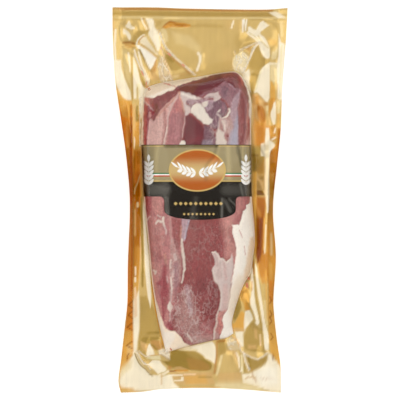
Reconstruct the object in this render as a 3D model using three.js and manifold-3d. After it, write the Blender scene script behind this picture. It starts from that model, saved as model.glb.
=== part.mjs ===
// A goose breast in its vacuum pack, lying on its back: a formed gold film below, a clear film
// drawn tight over the meat, and a printed band across the middle.
// Millimetres, +X across the pack, +Y along it to the thick end of the breast, +Z up.
// The origin is on the floor under the middle of the pack.

import * as THREE from "three";
import Module from "manifold-3d";
import { mergeVertices } from "three/addons/utils/BufferGeometryUtils.js";

// Driving dimensions
const FILM = 0.4; // thickness of the gold film and of the clear film
const BAND = 0.3; // thickness of the printed band
const GAP = 0.3; // air between two pieces that lie on each other
const FLANGE = 8.9; // real width of the welded side flange
const RIM = 1.6; // thickness of the breast at its outline
const RIM_SHARE = 0.62; // height of the gold film at the breast's outline, as a share of the lip's
const FLAT_SIDES = 0.5; // the part of the breast's half width that lies flat on the floor
const FLAT_ENDS = 0.8; // and of its half length
const END_RISE = 2.4; // height of the gold film past both ends of the breast
const END_DROOP = 0.1; // how much of that it loses with each half breast's length of the grid
const SIDE_ROUND = 27; // how far in from its sides the breast rounds over
const HEAD_ROUND = 17; // the same at its thick end
const TAIL_ROUND = 40; // the same at its thin end
const BAND_TOP = 49.5; // the band's straight upper edge
const BAND_BOTTOM = 3.1; // its lower edge beside the tab
const TAB_HALF = 32; // half the width of the tab below it
const TAB_SIDE = -8; // where the tab's straight sides end
const TAB_BOTTOM = -17.7; // the lowest point of the tab's round end
const TAB_ROUND = 4; // radius of the notches at the tab's shoulders
const BAND_MARGIN = 14; // how far past the band the grid rows that it is cut from reach

// Lines that run along the pack, as [y, x] stations from the thin end to the thick end
const leftCut = through([
  [-173.4, -71.2], [-163, -73.4], [-143, -70.9], [-113, -67.5], [-92, -65.2],
  [-57, -64.7], [-2, -62.9], [38, -66.1], [76, -71.5], [108, -76.3], [146, -78.4], [173.4, -78.8],
]);
const leftRim = through([
  [-137, -30.6], [-110, -37.2], [-85, -41.5], [-62, -44.4], [-32, -47], [0, -50.4],
  [48, -52.8], [63, -52.7], [92, -50.9], [100, -49.5],
]);
const rightRim = through([
  [-120, 30], [-110, 28.8], [-92, 33.3], [-75, 39.8], [-66, 45.4], [-50, 47.8],
  [-38, 49.3], [-23, 48.9], [0, 46.8], [63, 46], [90, 46], [107, 41],
]);
const rightCut = through([
  [-173.4, 73], [-150, 72.5], [-127, 69.3], [-104, 66.7], [-90, 65.9], [-51, 68.1],
  [-8, 65.5], [36, 69.6], [64, 72.5], [99, 73.9], [145, 77.3], [173, 78.8],
]);

// The side flanges lie nearly flat at the ends and stand up where the pack is drawn in, as
// [y, degrees] stations. The pocket's lip is the line that they turn about.
const leftTilt = through([
  [-173, 8], [-135, 10], [-110, 36], [-90, 52], [-50, 57], [0, 64], [40, 54], [76, 36],
  [108, 15], [173, 12],
]);
const rightTilt = through([
  [-173, 8], [-135, 12], [-108, 46], [-90, 55], [-51, 32], [-8, 58], [36, 30], [64, 15],
  [173, 12],
]);
const leftLip = (y) => leftCut(y) + FLANGE * Math.cos(radians(leftTilt(y)));
const rightLip = (y) => rightCut(y) - FLANGE * Math.cos(radians(rightTilt(y)));

// Lines that run across the pack, as [x, y] stations from left to right
const bottomCut = through([
  [-71, -173.4], [-52, -172.6], [-35, -170.3], [0, -169.2], [32, -170.1], [73, -173.4],
]);
const bottomLip = through([
  [-59, -140], [-56, -148], [-50, -153], [-42, -156.5], [-30, -157.5], [30, -157.5],
  [40, -156], [49, -152], [56.5, -146], [60.5, -137],
]);
const tailRim = through([
  [-30, -137], [-10, -131.4], [9, -126.8], [24, -123.8], [30, -120],
]);
const headRim = through([
  [-50, 99], [-46, 102], [-35, 105.4], [0, 111.2], [29, 115.7], [35, 113.8], [41, 107],
]);
const topLip = through([
  [-70, 157], [-66, 161], [0, 162], [66, 161], [70, 157],
]);
const topCut = through([
  [-79, 173.4], [-40, 173.4], [-17, 172.5], [20, 171.7], [60, 171.4], [78.8, 172.8],
]);

// Heights along the pack, as [y, z] stations
const lipHeight = through([
  [-173, 1.2], [-157, 1.8], [-130, 3.5], [-90, 8], [-30, 11.5], [20, 12], [60, 9.5],
  [100, 5], [135, 2.6], [173, 1.2],
]);
const crest = through([
  [-137, 12], [-120, 17], [-95, 22], [-60, 26], [-10, 30], [45, 34], [85, 33.5], [113, 30],
]);

// Troughs between the muscles: [x, y] points along each, its depth and its half width
const SEAMS = [
  { depth: 2.6, reach: 8, line: [[-12, -8], [-14, -45], [-16, -78], [-24, -108]] },
  { depth: 2.2, reach: 8, line: [[-11, 96], [-13, 72], [-16, 48]] },
  { depth: 2.0, reach: 7, line: [[34, 100], [34, 74], [32, 48]] },
];

// The grid that all pieces share. Lines 0 to 5 are the cut edge, the lip and the breast's outline on
// one side and the same on the other, and the breast's own cells are finer near its outline.
const ALONG = [leftCut, leftLip, leftRim, rightRim, rightLip, rightCut];
const ACROSS = [bottomCut, bottomLip, tailRim, headRim, topLip, topCut];
const COLUMNS = gridLines([2, 4, 16, 4, 2]);
const ROWS = gridLines([2, 4, 30, 5, 2]);
const BREAST = 2; // the stretch of both that the breast covers starts at line 2

function radians(degrees) {
  return THREE.MathUtils.degToRad(degrees);
}

// A smooth curve through [position, value] stations, level past its ends.
function through(stations) {
  const last = stations.length - 1;
  const slopes = stations.map((_, i) => {
    const [a, b] = [stations[Math.max(i - 1, 0)], stations[Math.min(i + 1, last)]];
    return (b[1] - a[1]) / (b[0] - a[0]);
  });
  return (p) => {
    const at = THREE.MathUtils.clamp(p, stations[0][0], stations[last][0]);
    const i = Math.min(stations.findLastIndex((s) => s[0] <= at), last - 1);
    const [[p0, v0], [p1, v1]] = [stations[i], stations[i + 1]];
    const span = p1 - p0;
    const t = (at - p0) / span;
    const [t2, t3] = [t * t, t * t * t];
    return (
      v0 * (2 * t3 - 3 * t2 + 1) + slopes[i] * span * (t3 - 2 * t2 + t) +
      v1 * (3 * t2 - 2 * t3) + slopes[i + 1] * span * (t3 - t2)
    );
  };
}

// Grid positions from 0 to 5, with the given number of cells between one line and the next.
function gridLines(cells) {
  const lines = cells.flatMap((count, i) =>
    Array.from({ length: count }, (_, k) => {
      const even = k / count;
      const finer = (1 - Math.cos(Math.PI * even)) / 2;
      return i + (i === 2 ? (even + finer) / 2 : even);
    }),
  );
  return [...lines, cells.length];
}

// The value at a grid position between the lines' values there.
function between(lines, position, p) {
  const i = Math.min(Math.floor(position), lines.length - 2);
  return THREE.MathUtils.lerp(lines[i](p), lines[i + 1](p), position - i);
}

// Where a grid column and a grid row cross, seen from above.
function crossing(column, row) {
  let [x, y] = [0, between(ACROSS, row, 0)];
  for (let round = 0; round < 12; round++) {
    x = between(ALONG, column, y);
    y = between(ACROSS, row, x);
  }
  return { x, y };
}

// How far a value is from the middle of the breast's stretch, from 0 in the middle to 1 at its outline.
function offCentre(position) {
  return Math.abs(2 * (position - BREAST) - 1);
}

const easedPast = (start, value) => Math.max(0, (value - start) / (1 - start)) ** 2;

// The underside of the gold film: flat under the breast, up round it, and up to the lip and flange.
function goldFloor(column, row) {
  const { x, y } = crossing(column, row);
  const [side, end] = [offCentre(column), offCentre(row)];
  const share =
    side <= 1
      ? RIM_SHARE * easedPast(FLAT_SIDES, side)
      : THREE.MathUtils.lerp(RIM_SHARE, 1, Math.min((side - 1) / 2, 1));
  const atEnd = end <= 1 ? easedPast(FLAT_ENDS, end) : 1 - END_DROOP * (end - 1);
  const bowl = Math.hypot(lipHeight(y) * share, END_RISE * atEnd);
  return bowl + flangeRise(column, y);
}

// How far the welded side flange stands up past the lip.
function flangeRise(column, y) {
  if (column < 1) return (1 - column) * FLANGE * Math.sin(radians(leftTilt(y)));
  if (column > 4) return (column - 4) * FLANGE * Math.sin(radians(rightTilt(y)));
  return 0;
}

const goldTop = (column, row) => goldFloor(column, row) + FILM;
const breastFloor = (column, row) => goldTop(column, row) + GAP;

// A rounding from 0 at an edge to 1 at the given distance from it.
const rounded = (distance, reach) =>
  Math.sqrt(1 - (1 - THREE.MathUtils.clamp(distance / reach, 0, 1)) ** 2);

// How deep the troughs between the muscles are at a point.
function trough(x, y) {
  const point = new THREE.Vector3(x, y, 0);
  const near = new THREE.Vector3();
  return SEAMS.reduce((sum, { depth, reach, line }) => {
    const ends = line.map(([px, py]) => new THREE.Vector3(px, py, 0));
    const away = ends.slice(1).map((end, i) =>
      new THREE.Line3(ends[i], end).closestPointToPoint(point, true, near).distanceTo(point),
    );
    return sum + depth * Math.exp(-((Math.min(...away) / reach) ** 2));
  }, 0);
}

function breastTop(column, row) {
  const { x, y } = crossing(column, row);
  const floor = breastFloor(column, row) + RIM;
  const inFromSide = Math.min(x - leftRim(y), rightRim(y) - x);
  const form =
    rounded(inFromSide, SIDE_ROUND) *
    rounded(headRim(x) - y, HEAD_ROUND) *
    rounded(y - tailRim(x), TAIL_ROUND);
  return floor + form * Math.max(0, crest(y) - floor - trough(x, y));
}

const bandFloor = (column, row) => breastTop(column, row) + GAP;
const bandTop = (column, row) => bandFloor(column, row) + BAND;

// Whether a grid row is one of those under the printed band and its tab.
function underBand(row) {
  const { y } = crossing(BREAST + 0.5, row);
  return y > TAB_BOTTOM - BAND_MARGIN && y < BAND_TOP + BAND_MARGIN;
}

// The clear film's underside: on the gold film, on the breast, or on the band over the breast.
function filmFloor(column, row) {
  const overBreast = offCentre(column) <= 1 && offCentre(row) <= 1;
  if (!overBreast) return goldTop(column, row) + GAP;
  const overBand = BAND_ROWS.includes(row);
  return overBand ? bandTop(column, row) + GAP : breastTop(column, row) + GAP;
}

const filmTop = (column, row) => filmFloor(column, row) + FILM;

// A closed sheet between two heights over a stretch of the grid, all sheets split into triangles alike.
function sheet(columns, rows, low, high) {
  const plane = new THREE.PlaneGeometry(1, 1, columns.length - 1, rows.length - 1);
  const { uv } = plane.attributes;
  const count = uv.count;
  const corners = new Float32Array(count * 6);
  for (let k = 0; k < count; k++) {
    const column = columns[Math.round(uv.getX(k) * (columns.length - 1))];
    const row = rows[Math.round(uv.getY(k) * (rows.length - 1))];
    const { x, y } = crossing(column, row);
    corners.set([x, y, high(column, row)], k * 3);
    corners.set([x, y, low(column, row)], (count + k) * 3);
  }
  const faces = [...plane.index.array];
  const top = faces.slice();
  for (let f = 0; f < top.length; f += 3)
    faces.push(top[f] + count, top[f + 2] + count, top[f + 1] + count);
  const rim = rimOf(columns.length, rows.length);
  rim.forEach((a, i) => {
    const b = rim[(i + 1) % rim.length];
    faces.push(a, b, b + count, a, b + count, a + count);
  });
  const closed = new THREE.BufferGeometry();
  closed.setAttribute("position", new THREE.BufferAttribute(corners, 3));
  closed.setIndex(faces);
  return closed;
}

// The vertex numbers round the rim of a plane, clockwise seen from above, starting at its upper left.
function rimOf(wide, high) {
  const range = (n) => Array.from({ length: n }, (_, i) => i);
  return [
    ...range(wide - 1),
    ...range(high - 1).map((i) => wide - 1 + i * wide),
    ...range(wide - 1).map((i) => wide * high - 1 - i),
    ...range(high - 1).map((i) => wide * (high - 1) - i * wide),
  ];
}

// The outline of the printed band: a strap with a round-ended tab below its middle.
function bandOutline() {
  const wide = 80; // past both sides of the breast, whose outline trims the strap
  const shoulder = TAB_ROUND;
  const outline = new THREE.Shape();
  outline.moveTo(-wide, BAND_TOP);
  outline.lineTo(-wide, BAND_BOTTOM);
  outline.lineTo(-TAB_HALF - shoulder, BAND_BOTTOM);
  outline.quadraticCurveTo(-TAB_HALF, BAND_BOTTOM, -TAB_HALF, BAND_BOTTOM - shoulder);
  outline.lineTo(-TAB_HALF, TAB_SIDE);
  outline.bezierCurveTo(-TAB_HALF + 5, TAB_BOTTOM + 1, -14, TAB_BOTTOM, 0, TAB_BOTTOM);
  outline.bezierCurveTo(14, TAB_BOTTOM, TAB_HALF - 5, TAB_BOTTOM + 1, TAB_HALF, TAB_SIDE);
  outline.lineTo(TAB_HALF, BAND_BOTTOM - shoulder);
  outline.quadraticCurveTo(TAB_HALF, BAND_BOTTOM, TAB_HALF + shoulder, BAND_BOTTOM);
  outline.lineTo(wide, BAND_BOTTOM);
  outline.lineTo(wide, BAND_TOP);
  outline.closePath();
  return new THREE.ExtrudeGeometry(outline, { depth: 60, bevelEnabled: false, curveSegments: 8 });
}

const wasm = await Module();
wasm.setup();

// A three.js geometry as a solid for joining and cutting.
function solid(geometry) {
  const bare = geometry.clone();
  bare.deleteAttribute("normal");
  bare.deleteAttribute("uv");
  const merged = mergeVertices(bare, 1e-4);
  return new wasm.Manifold(
    new wasm.Mesh({
      numProp: 3,
      vertProperties: merged.attributes.position.array,
      triVerts: new Uint32Array(merged.index.array),
    }),
  );
}

// And back.
function geometryOf(made) {
  const { vertProperties, triVerts } = made.getMesh();
  const geometry = new THREE.BufferGeometry();
  geometry.setAttribute("position", new THREE.BufferAttribute(vertProperties, 3));
  geometry.setIndex(new THREE.BufferAttribute(triVerts, 1));
  geometry.computeVertexNormals();
  return geometry;
}

const BREAST_COLUMNS = COLUMNS.filter((c) => c >= BREAST && c <= BREAST + 1);
const BREAST_ROWS = ROWS.filter((r) => r >= BREAST && r <= BREAST + 1);
const BAND_ROWS = BREAST_ROWS.filter(underBand);

const goldFilm = sheet(COLUMNS, ROWS, goldFloor, goldTop);
const breast = sheet(BREAST_COLUMNS, BREAST_ROWS, breastFloor, breastTop);
const strap = sheet(BREAST_COLUMNS, BAND_ROWS, bandFloor, bandTop);
const band = geometryOf(solid(strap).intersect(solid(bandOutline())));
const clearFilm = sheet(COLUMNS, ROWS, filmFloor, filmTop);

function mesh(name, geometry, look) {
  geometry.computeVertexNormals();
  const made = new THREE.Mesh(geometry, new THREE.MeshStandardMaterial(look));
  made.name = name;
  return made;
}

const pack = new THREE.Group();
pack.add(
  mesh("gold_film", goldFilm, { color: 0xd1b06c, roughness: 0.25, metalness: 1 }),
  mesh("goose_breast", breast, { color: 0x9b6360, roughness: 0.4, metalness: 0 }),
  mesh("printed_band", band, { color: 0x8d7c55, roughness: 0.3, metalness: 0 }),
  mesh("clear_film", clearFilm, {
    color: 0xf4f2ee, roughness: 0.1, metalness: 0, transparent: true, opacity: 0.2,
  }),
);

export default pack;
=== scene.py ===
# %% [markdown]
# # A goose breast in its vacuum pack
#
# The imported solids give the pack's true size: a formed gold film, the breast on it, a printed band
# across the meat and a clear film drawn tight over everything. This lesson dresses them. Each solid
# is smooth and plain, and each gets a finer sheet in its place, with the creases, the muscles and
# the gloss that the real one has. All lengths here are millimetres until a mesh is written.

# %% Load the frame
import functools
import math

import bmesh
import bpy
import numpy as np
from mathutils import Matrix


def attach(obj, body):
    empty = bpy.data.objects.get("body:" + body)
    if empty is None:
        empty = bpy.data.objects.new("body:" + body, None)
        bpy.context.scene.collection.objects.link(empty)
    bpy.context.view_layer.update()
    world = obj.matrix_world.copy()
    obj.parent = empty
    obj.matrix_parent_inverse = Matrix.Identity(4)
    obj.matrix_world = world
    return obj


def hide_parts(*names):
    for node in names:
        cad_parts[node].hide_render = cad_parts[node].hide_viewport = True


MM = 0.001

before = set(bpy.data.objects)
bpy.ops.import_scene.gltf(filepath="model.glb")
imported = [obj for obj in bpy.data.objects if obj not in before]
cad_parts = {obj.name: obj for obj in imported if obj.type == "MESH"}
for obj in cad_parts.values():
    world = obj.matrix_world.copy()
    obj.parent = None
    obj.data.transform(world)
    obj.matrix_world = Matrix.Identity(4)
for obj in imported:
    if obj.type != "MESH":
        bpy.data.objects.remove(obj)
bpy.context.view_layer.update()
scene = bpy.context.scene
print("solids:", ", ".join(sorted(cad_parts)))

# %% [markdown]
# ## Camera
#
# The pack is seen from straight above. A long lens from far away keeps the sides from leaning, and
# the frame is 360 mm wide, so that the pack nearly fills its height.

# %% Camera
VIEW_WIDTH = 360.0
CAMERA_HEIGHT = 4000.0
SENSOR = 36.0
MIDDLE_HEIGHT = 3.0  # the level at which the frame has its width

lens = SENSOR * (CAMERA_HEIGHT - MIDDLE_HEIGHT) / VIEW_WIDTH
camera_data = bpy.data.cameras.new("camera")
camera_data.sensor_width = SENSOR
camera_data.lens = lens
camera = bpy.data.objects.new("camera", camera_data)
camera.location = (0, 0, CAMERA_HEIGHT * MM)
scene.collection.objects.link(camera)
scene.camera = camera
print(f"lens {lens:.0f} mm")

# %% [markdown]
# ## Writing materials
#
# A material is a tree of nodes, and so is the light of a room. One short helper adds a node, sets
# its plain inputs and links the others, so that a finish can be read from top to bottom. The sums
# in a tree have short names, and find it through the sockets that they are given.

# %% Node helpers
def new_material(name):
    """An empty material and its tree."""
    material = bpy.data.materials.new(name)
    material.use_nodes = True
    material.node_tree.nodes.clear()
    return material, material.node_tree


def add(tree, kind, inputs=None, **settings):
    """A node with its settings and inputs: a plain value is set, and a socket is linked."""
    made = tree.nodes.new("ShaderNode" + kind)
    for name, value in settings.items():
        setattr(made, name, value)
    for name, value in (inputs or {}).items():
        if isinstance(value, bpy.types.NodeSocket):
            tree.links.new(value, made.inputs[name])
        else:
            made.inputs[name].default_value = value
    return made


def dress(mesh, material, shader):
    """Makes a shader the result of a material, and gives the material to a mesh."""
    add(material.node_tree, "OutputMaterial", {"Surface": shader.outputs[0]})
    mesh.materials.append(material)
    print(material.name, "has", len(material.node_tree.nodes), "nodes")


def worked_out(operation, *values):
    """A sum for every point of the surface. At least one of its values is a socket."""
    tree = next(value.id_data for value in values if isinstance(value, bpy.types.NodeSocket))
    return add(tree, "Math", dict(enumerate(values)), operation=operation).outputs[0]


plus = functools.partial(worked_out, "ADD")
less = functools.partial(worked_out, "SUBTRACT")
times = functools.partial(worked_out, "MULTIPLY")
most = functools.partial(worked_out, "MAXIMUM")
size_of = functools.partial(worked_out, "ABSOLUTE")


def step(value, low, high):
    """0 below low, 1 above high, smooth between."""
    limits = {"Value": value, "From Min": low, "From Max": high}
    return add(value.id_data, "MapRange", limits, interpolation_type="SMOOTHSTEP").outputs["Result"]


def blend(share, first, second):
    """A mix of two colours, with a share of the second one."""
    return add(share.id_data, "Mix", {0: share, 6: first, 7: second}, data_type="RGBA").outputs[2]


def shaded(colour, factor):
    """A colour made lighter or darker by a factor."""
    return add(factor.id_data, "VectorMath", {0: colour, "Scale": factor}, operation="SCALE").outputs[0]


def marked(tree, name):
    """The number that the corners of a piece keep under a name."""
    return add(tree, "Attribute", attribute_name=name).outputs["Fac"]


def srgb(red, green, blue):
    """A colour as seen on a screen, 0 to 255, as the linear one that a shader needs."""
    linear = [((c / 255 + 0.055) / 1.055) ** 2.4 if c > 10 else c / 3294 for c in (red, green, blue)]
    return (*linear, 1.0)


def noise(place, scale, detail=2.0, stretch=(1, 1, 1), offset=(0, 0, 0)):
    """Noise from about -0.5 to 0.5, with its scale in grains to the millimetre."""
    tree, grains = place.id_data, tuple(s * scale / MM for s in stretch)
    turned = add(tree, "Mapping", {"Vector": place, "Scale": grains, "Location": offset})
    made = add(tree, "TexNoise", {"Vector": turned.outputs[0], "Scale": 1.0, "Detail": detail})
    return less(made.outputs["Fac"], 0.5)


# %% [markdown]
# ## Studio
#
# Gold film has no colour of its own: it shows what stands round it. A plain bright room gives the
# flat film its khaki, and large soft lamps on the left, on the right and at the far end turn the
# creases that lean towards them cream. A fourth lamp overhead lights the meat and the print. It is
# left out of every reflection, because it would wash out all that lies flat.

# %% Room
CEILING, HORIZON = 0.60, 0.35  # how bright the room is overhead and low down
LOW, HIGH = 0.1, 0.9  # the room brightens between these heights, 1 being straight overhead
ROOM_COLOUR = (1.0, 0.985, 0.93, 1)
scene.view_settings.view_transform = "Standard"

world = bpy.data.worlds.new("room")
scene.world = world
world.use_nodes = True
sky = world.node_tree
height = add(sky, "SeparateXYZ", {"Vector": add(sky, "TexCoord").outputs["Generated"]}).outputs["Z"]
limits = {"Value": height, "From Min": LOW, "From Max": HIGH, "To Min": HORIZON, "To Max": CEILING}
fade = add(sky, "MapRange", limits)
sky.links.new(fade.outputs["Result"], sky.nodes["Background"].inputs["Strength"])
sky.nodes["Background"].inputs["Color"].default_value = ROOM_COLOUR
print("a room of brightness", HORIZON, "to", CEILING)

# %% Lamps
WARM, NEUTRAL = (1.0, 0.95, 0.82), (1.0, 1.015, 1.03)


def lamp(name, place, size, brightness, colour, glossy=True):
    """A soft area lamp that looks at the middle of the pack, with its place and size in metres."""
    data = bpy.data.lights.new(name, "AREA")
    data.shape = "RECTANGLE"
    data.size, data.size_y = size
    data.energy = brightness * math.pi * size[0] * size[1]
    data.color = colour
    made = bpy.data.objects.new(name, data)
    made.location = place
    made.rotation_euler = (-made.location).to_track_quat("-Z", "Y").to_euler()
    made.visible_camera = False
    made.visible_glossy = glossy
    scene.collection.objects.link(made)


lamp("left_lamp", (-1.25, 0.15, 1.55), (1.0, 1.7), 1.0, WARM)
lamp("right_lamp", (1.3, 0.35, 1.45), (0.9, 1.6), 1.0, WARM)
lamp("far_lamp", (0.1, 1.7, 1.7), (1.4, 0.7), 1.0, WARM)
lamp("fill_lamp", (0.0, -0.2, 2.6), (2.0, 2.0), 1.75, NEUTRAL, glossy=False)
print(len(bpy.data.lights), "lamps")

# %% Floor
FLOOR_SIZE = 6.0  # in metres
FLOOR_DROP = 0.2  # so that the pack doesn't share a surface with it

bm = bmesh.new()
bmesh.ops.create_grid(bm, x_segments=1, y_segments=1, size=FLOOR_SIZE / 2)
floor_mesh = bpy.data.meshes.new("floor")
bm.to_mesh(floor_mesh)
bm.free()
floor = bpy.data.objects.new("floor", floor_mesh)
floor.location.z = -FLOOR_DROP * MM
scene.collection.objects.link(floor)

material, tree = new_material("floor")
shader = add(tree, "BsdfPrincipled", {
    "Base Color": (0.65, 0.65, 0.66, 1), "Roughness": 0.9, "Specular IOR Level": 0.1,
    "Emission Color": (1, 1, 1, 1), "Emission Strength": 0.6,
})
dress(floor_mesh, material, shader)
print("a floor of", FLOOR_SIZE, "m")

# %% [markdown]
# ## The pack's own grid
#
# The solids were made on one grid of curved lines: the cut edge, the lip of the pocket and the
# breast's outline, on each side. The same lines are repeated here, so that every finer sheet has
# its edges and its rims where the solids have theirs. A smooth curve through a few measured
# stations gives each line.

# %% Curves through stations
def through(*stations):
    """A smooth curve through (position, value) stations, level past its ends."""
    place, value = np.array(stations, float).T
    before = np.maximum(np.arange(len(place)) - 1, 0)
    after = np.minimum(np.arange(len(place)) + 1, len(place) - 1)
    slope = (value[after] - value[before]) / (place[after] - place[before])

    def curve(at):
        at = np.clip(at, place[0], place[-1])
        i = np.clip(np.searchsorted(place, at, side="right") - 1, 0, len(place) - 2)
        span = place[i + 1] - place[i]
        t = (at - place[i]) / span
        start = value[i] * (2 * t**3 - 3 * t**2 + 1) + slope[i] * span * (t**3 - 2 * t**2 + t)
        end = value[i + 1] * (3 * t**2 - 2 * t**3) + slope[i + 1] * span * (t**3 - t**2)
        return start + end

    return curve


# %% The lines of the pack
FLANGE = 8.9

left_cut = through(
    (-173.4, -71.2), (-163, -73.4), (-143, -70.9), (-113, -67.5), (-92, -65.2), (-57, -64.7),
    (-2, -62.9), (38, -66.1), (76, -71.5), (108, -76.3), (146, -78.4), (173.4, -78.8),
)
left_rim = through(
    (-137, -30.6), (-110, -37.2), (-85, -41.5), (-62, -44.4), (-32, -47), (0, -50.4),
    (48, -52.8), (63, -52.7), (92, -50.9), (100, -49.5),
)
right_rim = through(
    (-120, 30), (-110, 28.8), (-92, 33.3), (-75, 39.8), (-66, 45.4), (-50, 47.8),
    (-38, 49.3), (-23, 48.9), (0, 46.8), (63, 46), (90, 46), (107, 41),
)
right_cut = through(
    (-173.4, 73), (-150, 72.5), (-127, 69.3), (-104, 66.7), (-90, 65.9), (-51, 68.1),
    (-8, 65.5), (36, 69.6), (64, 72.5), (99, 73.9), (145, 77.3), (173, 78.8),
)
left_tilt = through(
    (-173, 8), (-135, 10), (-110, 36), (-90, 52), (-50, 57), (0, 64), (40, 54), (76, 36),
    (108, 15), (173, 12),
)
right_tilt = through(
    (-173, 8), (-135, 12), (-108, 46), (-90, 55), (-51, 32), (-8, 58), (36, 30), (64, 15),
    (173, 12),
)
bottom_cut = through(
    (-71, -173.4), (-52, -172.6), (-35, -170.3), (0, -169.2), (32, -170.1), (73, -173.4),
)
bottom_lip = through(
    (-59, -140), (-56, -148), (-50, -153), (-42, -156.5), (-30, -157.5), (30, -157.5),
    (40, -156), (49, -152), (56.5, -146), (60.5, -137),
)
tail_rim = through((-30, -137), (-10, -131.4), (9, -126.8), (24, -123.8), (30, -120))
head_rim = through(
    (-50, 99), (-46, 102), (-35, 105.4), (0, 111.2), (29, 115.7), (35, 113.8), (41, 107),
)
top_lip = through((-70, 157), (-66, 161), (0, 162), (66, 161), (70, 157))
top_cut = through((-79, 173.4), (-40, 173.4), (-17, 172.5), (20, 171.7), (60, 171.4), (78.8, 172.8))


def left_lip(y):
    return left_cut(y) + FLANGE * np.cos(np.radians(left_tilt(y)))


def right_lip(y):
    return right_cut(y) - FLANGE * np.cos(np.radians(right_tilt(y)))


ALONG = (left_cut, left_lip, left_rim, right_rim, right_lip, right_cut)
ACROSS = (bottom_cut, bottom_lip, tail_rim, head_rim, top_lip, top_cut)
BREAST = 2  # the stretch of both that the breast covers starts at line 2


# %% Where a column and a row cross
def between(lines, position, at):
    """The value at a grid position between the lines' values there."""
    values = np.stack([line(at) for line in lines])
    i = np.clip(np.floor(position).astype(int), 0, len(lines) - 2)
    low = np.take_along_axis(values, i[None], 0)[0]
    high = np.take_along_axis(values, i[None] + 1, 0)[0]
    return low + (high - low) * (position - i)


def crossing(column, row):
    """The place on the floor where grid columns and rows cross."""
    x, y = np.zeros(column.shape), between(ACROSS, row, np.zeros(column.shape))
    for _ in range(12):
        x = between(ALONG, column, y)
        y = between(ACROSS, row, x)
    return x, y


def spread(cells):
    """Grid positions with the given number of cells between one line and the next."""
    steps = [i + np.arange(count) / count for i, count in enumerate(cells)]
    return np.append(np.concatenate(steps), len(cells))


# %% [markdown]
# ## Heights
#
# The gold film lies flat under the middle of the breast, rises round it to the lip, and its
# flanges stand up where the pack is drawn in. The breast rounds over at its sides, is thickest
# under the band and thins out towards its tail. These are the solids' own heights.

# %% Heights of the gold film and the breast
FILM = 0.4
GAP = 0.3
RIM = 1.6
RIM_SHARE = 0.62
FLAT_SIDES, FLAT_ENDS = 0.5, 0.8
END_RISE, END_DROOP = 2.4, 0.1
SIDE_ROUND, HEAD_ROUND, TAIL_ROUND = 27, 17, 40

lip_height = through(
    (-173, 1.2), (-157, 1.8), (-130, 3.5), (-90, 8), (-30, 11.5), (20, 12), (60, 9.5),
    (100, 5), (135, 2.6), (173, 1.2),
)
crest = through(
    (-137, 12), (-120, 17), (-95, 22), (-60, 26), (-10, 30), (45, 34), (85, 33.5), (113, 30),
)


def off_centre(position):
    """0 in the middle of the breast's stretch of the grid, 1 at its outline."""
    return np.abs(2 * (position - BREAST) - 1)


def eased_past(start, value):
    return np.maximum(0, (value - start) / (1 - start)) ** 2


def gold_floor(column, row, x, y):
    """The underside of the gold film."""
    side, end = off_centre(column), off_centre(row)
    beside = RIM_SHARE + (1 - RIM_SHARE) * np.clip((side - 1) / 2, 0, 1)
    share = np.where(side <= 1, RIM_SHARE * eased_past(FLAT_SIDES, side), beside)
    at_end = np.where(end <= 1, eased_past(FLAT_ENDS, end), 1 - END_DROOP * (end - 1))
    left = np.clip(1 - column, 0, 1) * np.sin(np.radians(left_tilt(y)))
    right = np.clip(column - 4, 0, 1) * np.sin(np.radians(right_tilt(y)))
    return np.hypot(lip_height(y) * share, END_RISE * at_end) + FLANGE * (left + right)


def rounded(distance, reach):
    return np.sqrt(1 - (1 - np.clip(distance / reach, 0, 1)) ** 2)


# %% [markdown]
# ## A drawing of the pack
#
# Creases, tissues and print are placed on a drawing. It has steps of 0.9 mm, x runs to the right
# and y down, and the pack's middle is at 200,200. A path or an outline is written as text.

# %% Places, paths and outlines
DRAWING_STEP = 0.9


@functools.cache
def places(text):
    """Places on the drawing, written as "x,y x,y", in millimetres in the part's frame."""
    pairs = [pair.split(",") for pair in text.split()]
    return [((float(x) - 200) * DRAWING_STEP, (200 - float(y)) * DRAWING_STEP) for x, y in pairs]


def along(path, x, y):
    """How far points are from a path, on which side of it (1 left, -1 right) and how far along it."""
    nearest = np.full(x.shape, np.inf)
    side, share = np.zeros(x.shape), np.zeros(x.shape)
    ends = np.array(path, float)
    steps = np.hypot(*np.diff(ends, axis=0).T)
    done = 0.0
    for (x0, y0), (x1, y1), step in zip(ends, ends[1:], steps):
        dx, dy = x1 - x0, y1 - y0
        t = np.clip(((x - x0) * dx + (y - y0) * dy) / step**2, 0, 1)
        away = np.hypot(x - x0 - t * dx, y - y0 - t * dy)
        closer = away < nearest
        nearest = np.where(closer, away, nearest)
        side = np.where(closer, np.sign(dx * (y - y0) - dy * (x - x0)), side)
        share = np.where(closer, (done + t * step) / steps.sum(), share)
        done += step
    return nearest, side, share


def inside(outline, x, y):
    """How far points are inside a closed outline, negative outside it."""
    closed = list(outline) + [outline[0]]
    away = along(closed, x, y)[0]
    within = np.zeros(x.shape, bool)
    for (x0, y0), (x1, y1) in zip(closed, closed[1:]):
        if y0 != y1:
            spans = (y0 > y) != (y1 > y)
            within ^= spans & (x < x0 + (y - y0) * (x1 - x0) / (y1 - y0))
    return np.where(within, away, -away)


def smooth(low, high, value):
    t = np.clip((value - low) / (high - low), 0, 1)
    return t * t * (3 - 2 * t)


def close_to(path, reach, x, y):
    """Which points lie in the box round a path, with a margin. The others need no distance."""
    low, high = np.min(path, 0) - reach, np.max(path, 0) + reach
    return (x > low[0]) & (x < high[0]) & (y > low[1]) & (y < high[1])


def covered(x, y, text, soft, half=0):
    """The share of each point that an area covers, or a line where a half width is given."""
    path = places(text)
    near = close_to(path, (half + soft) * DRAWING_STEP, x, y)
    u, v = x[near], y[near]
    depth = half * DRAWING_STEP - along(path, u, v)[0] if half else inside(path, u, v)
    share = np.zeros(x.shape)
    share[near] = smooth(-soft * DRAWING_STEP, soft * DRAWING_STEP, depth)
    return share


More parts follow.
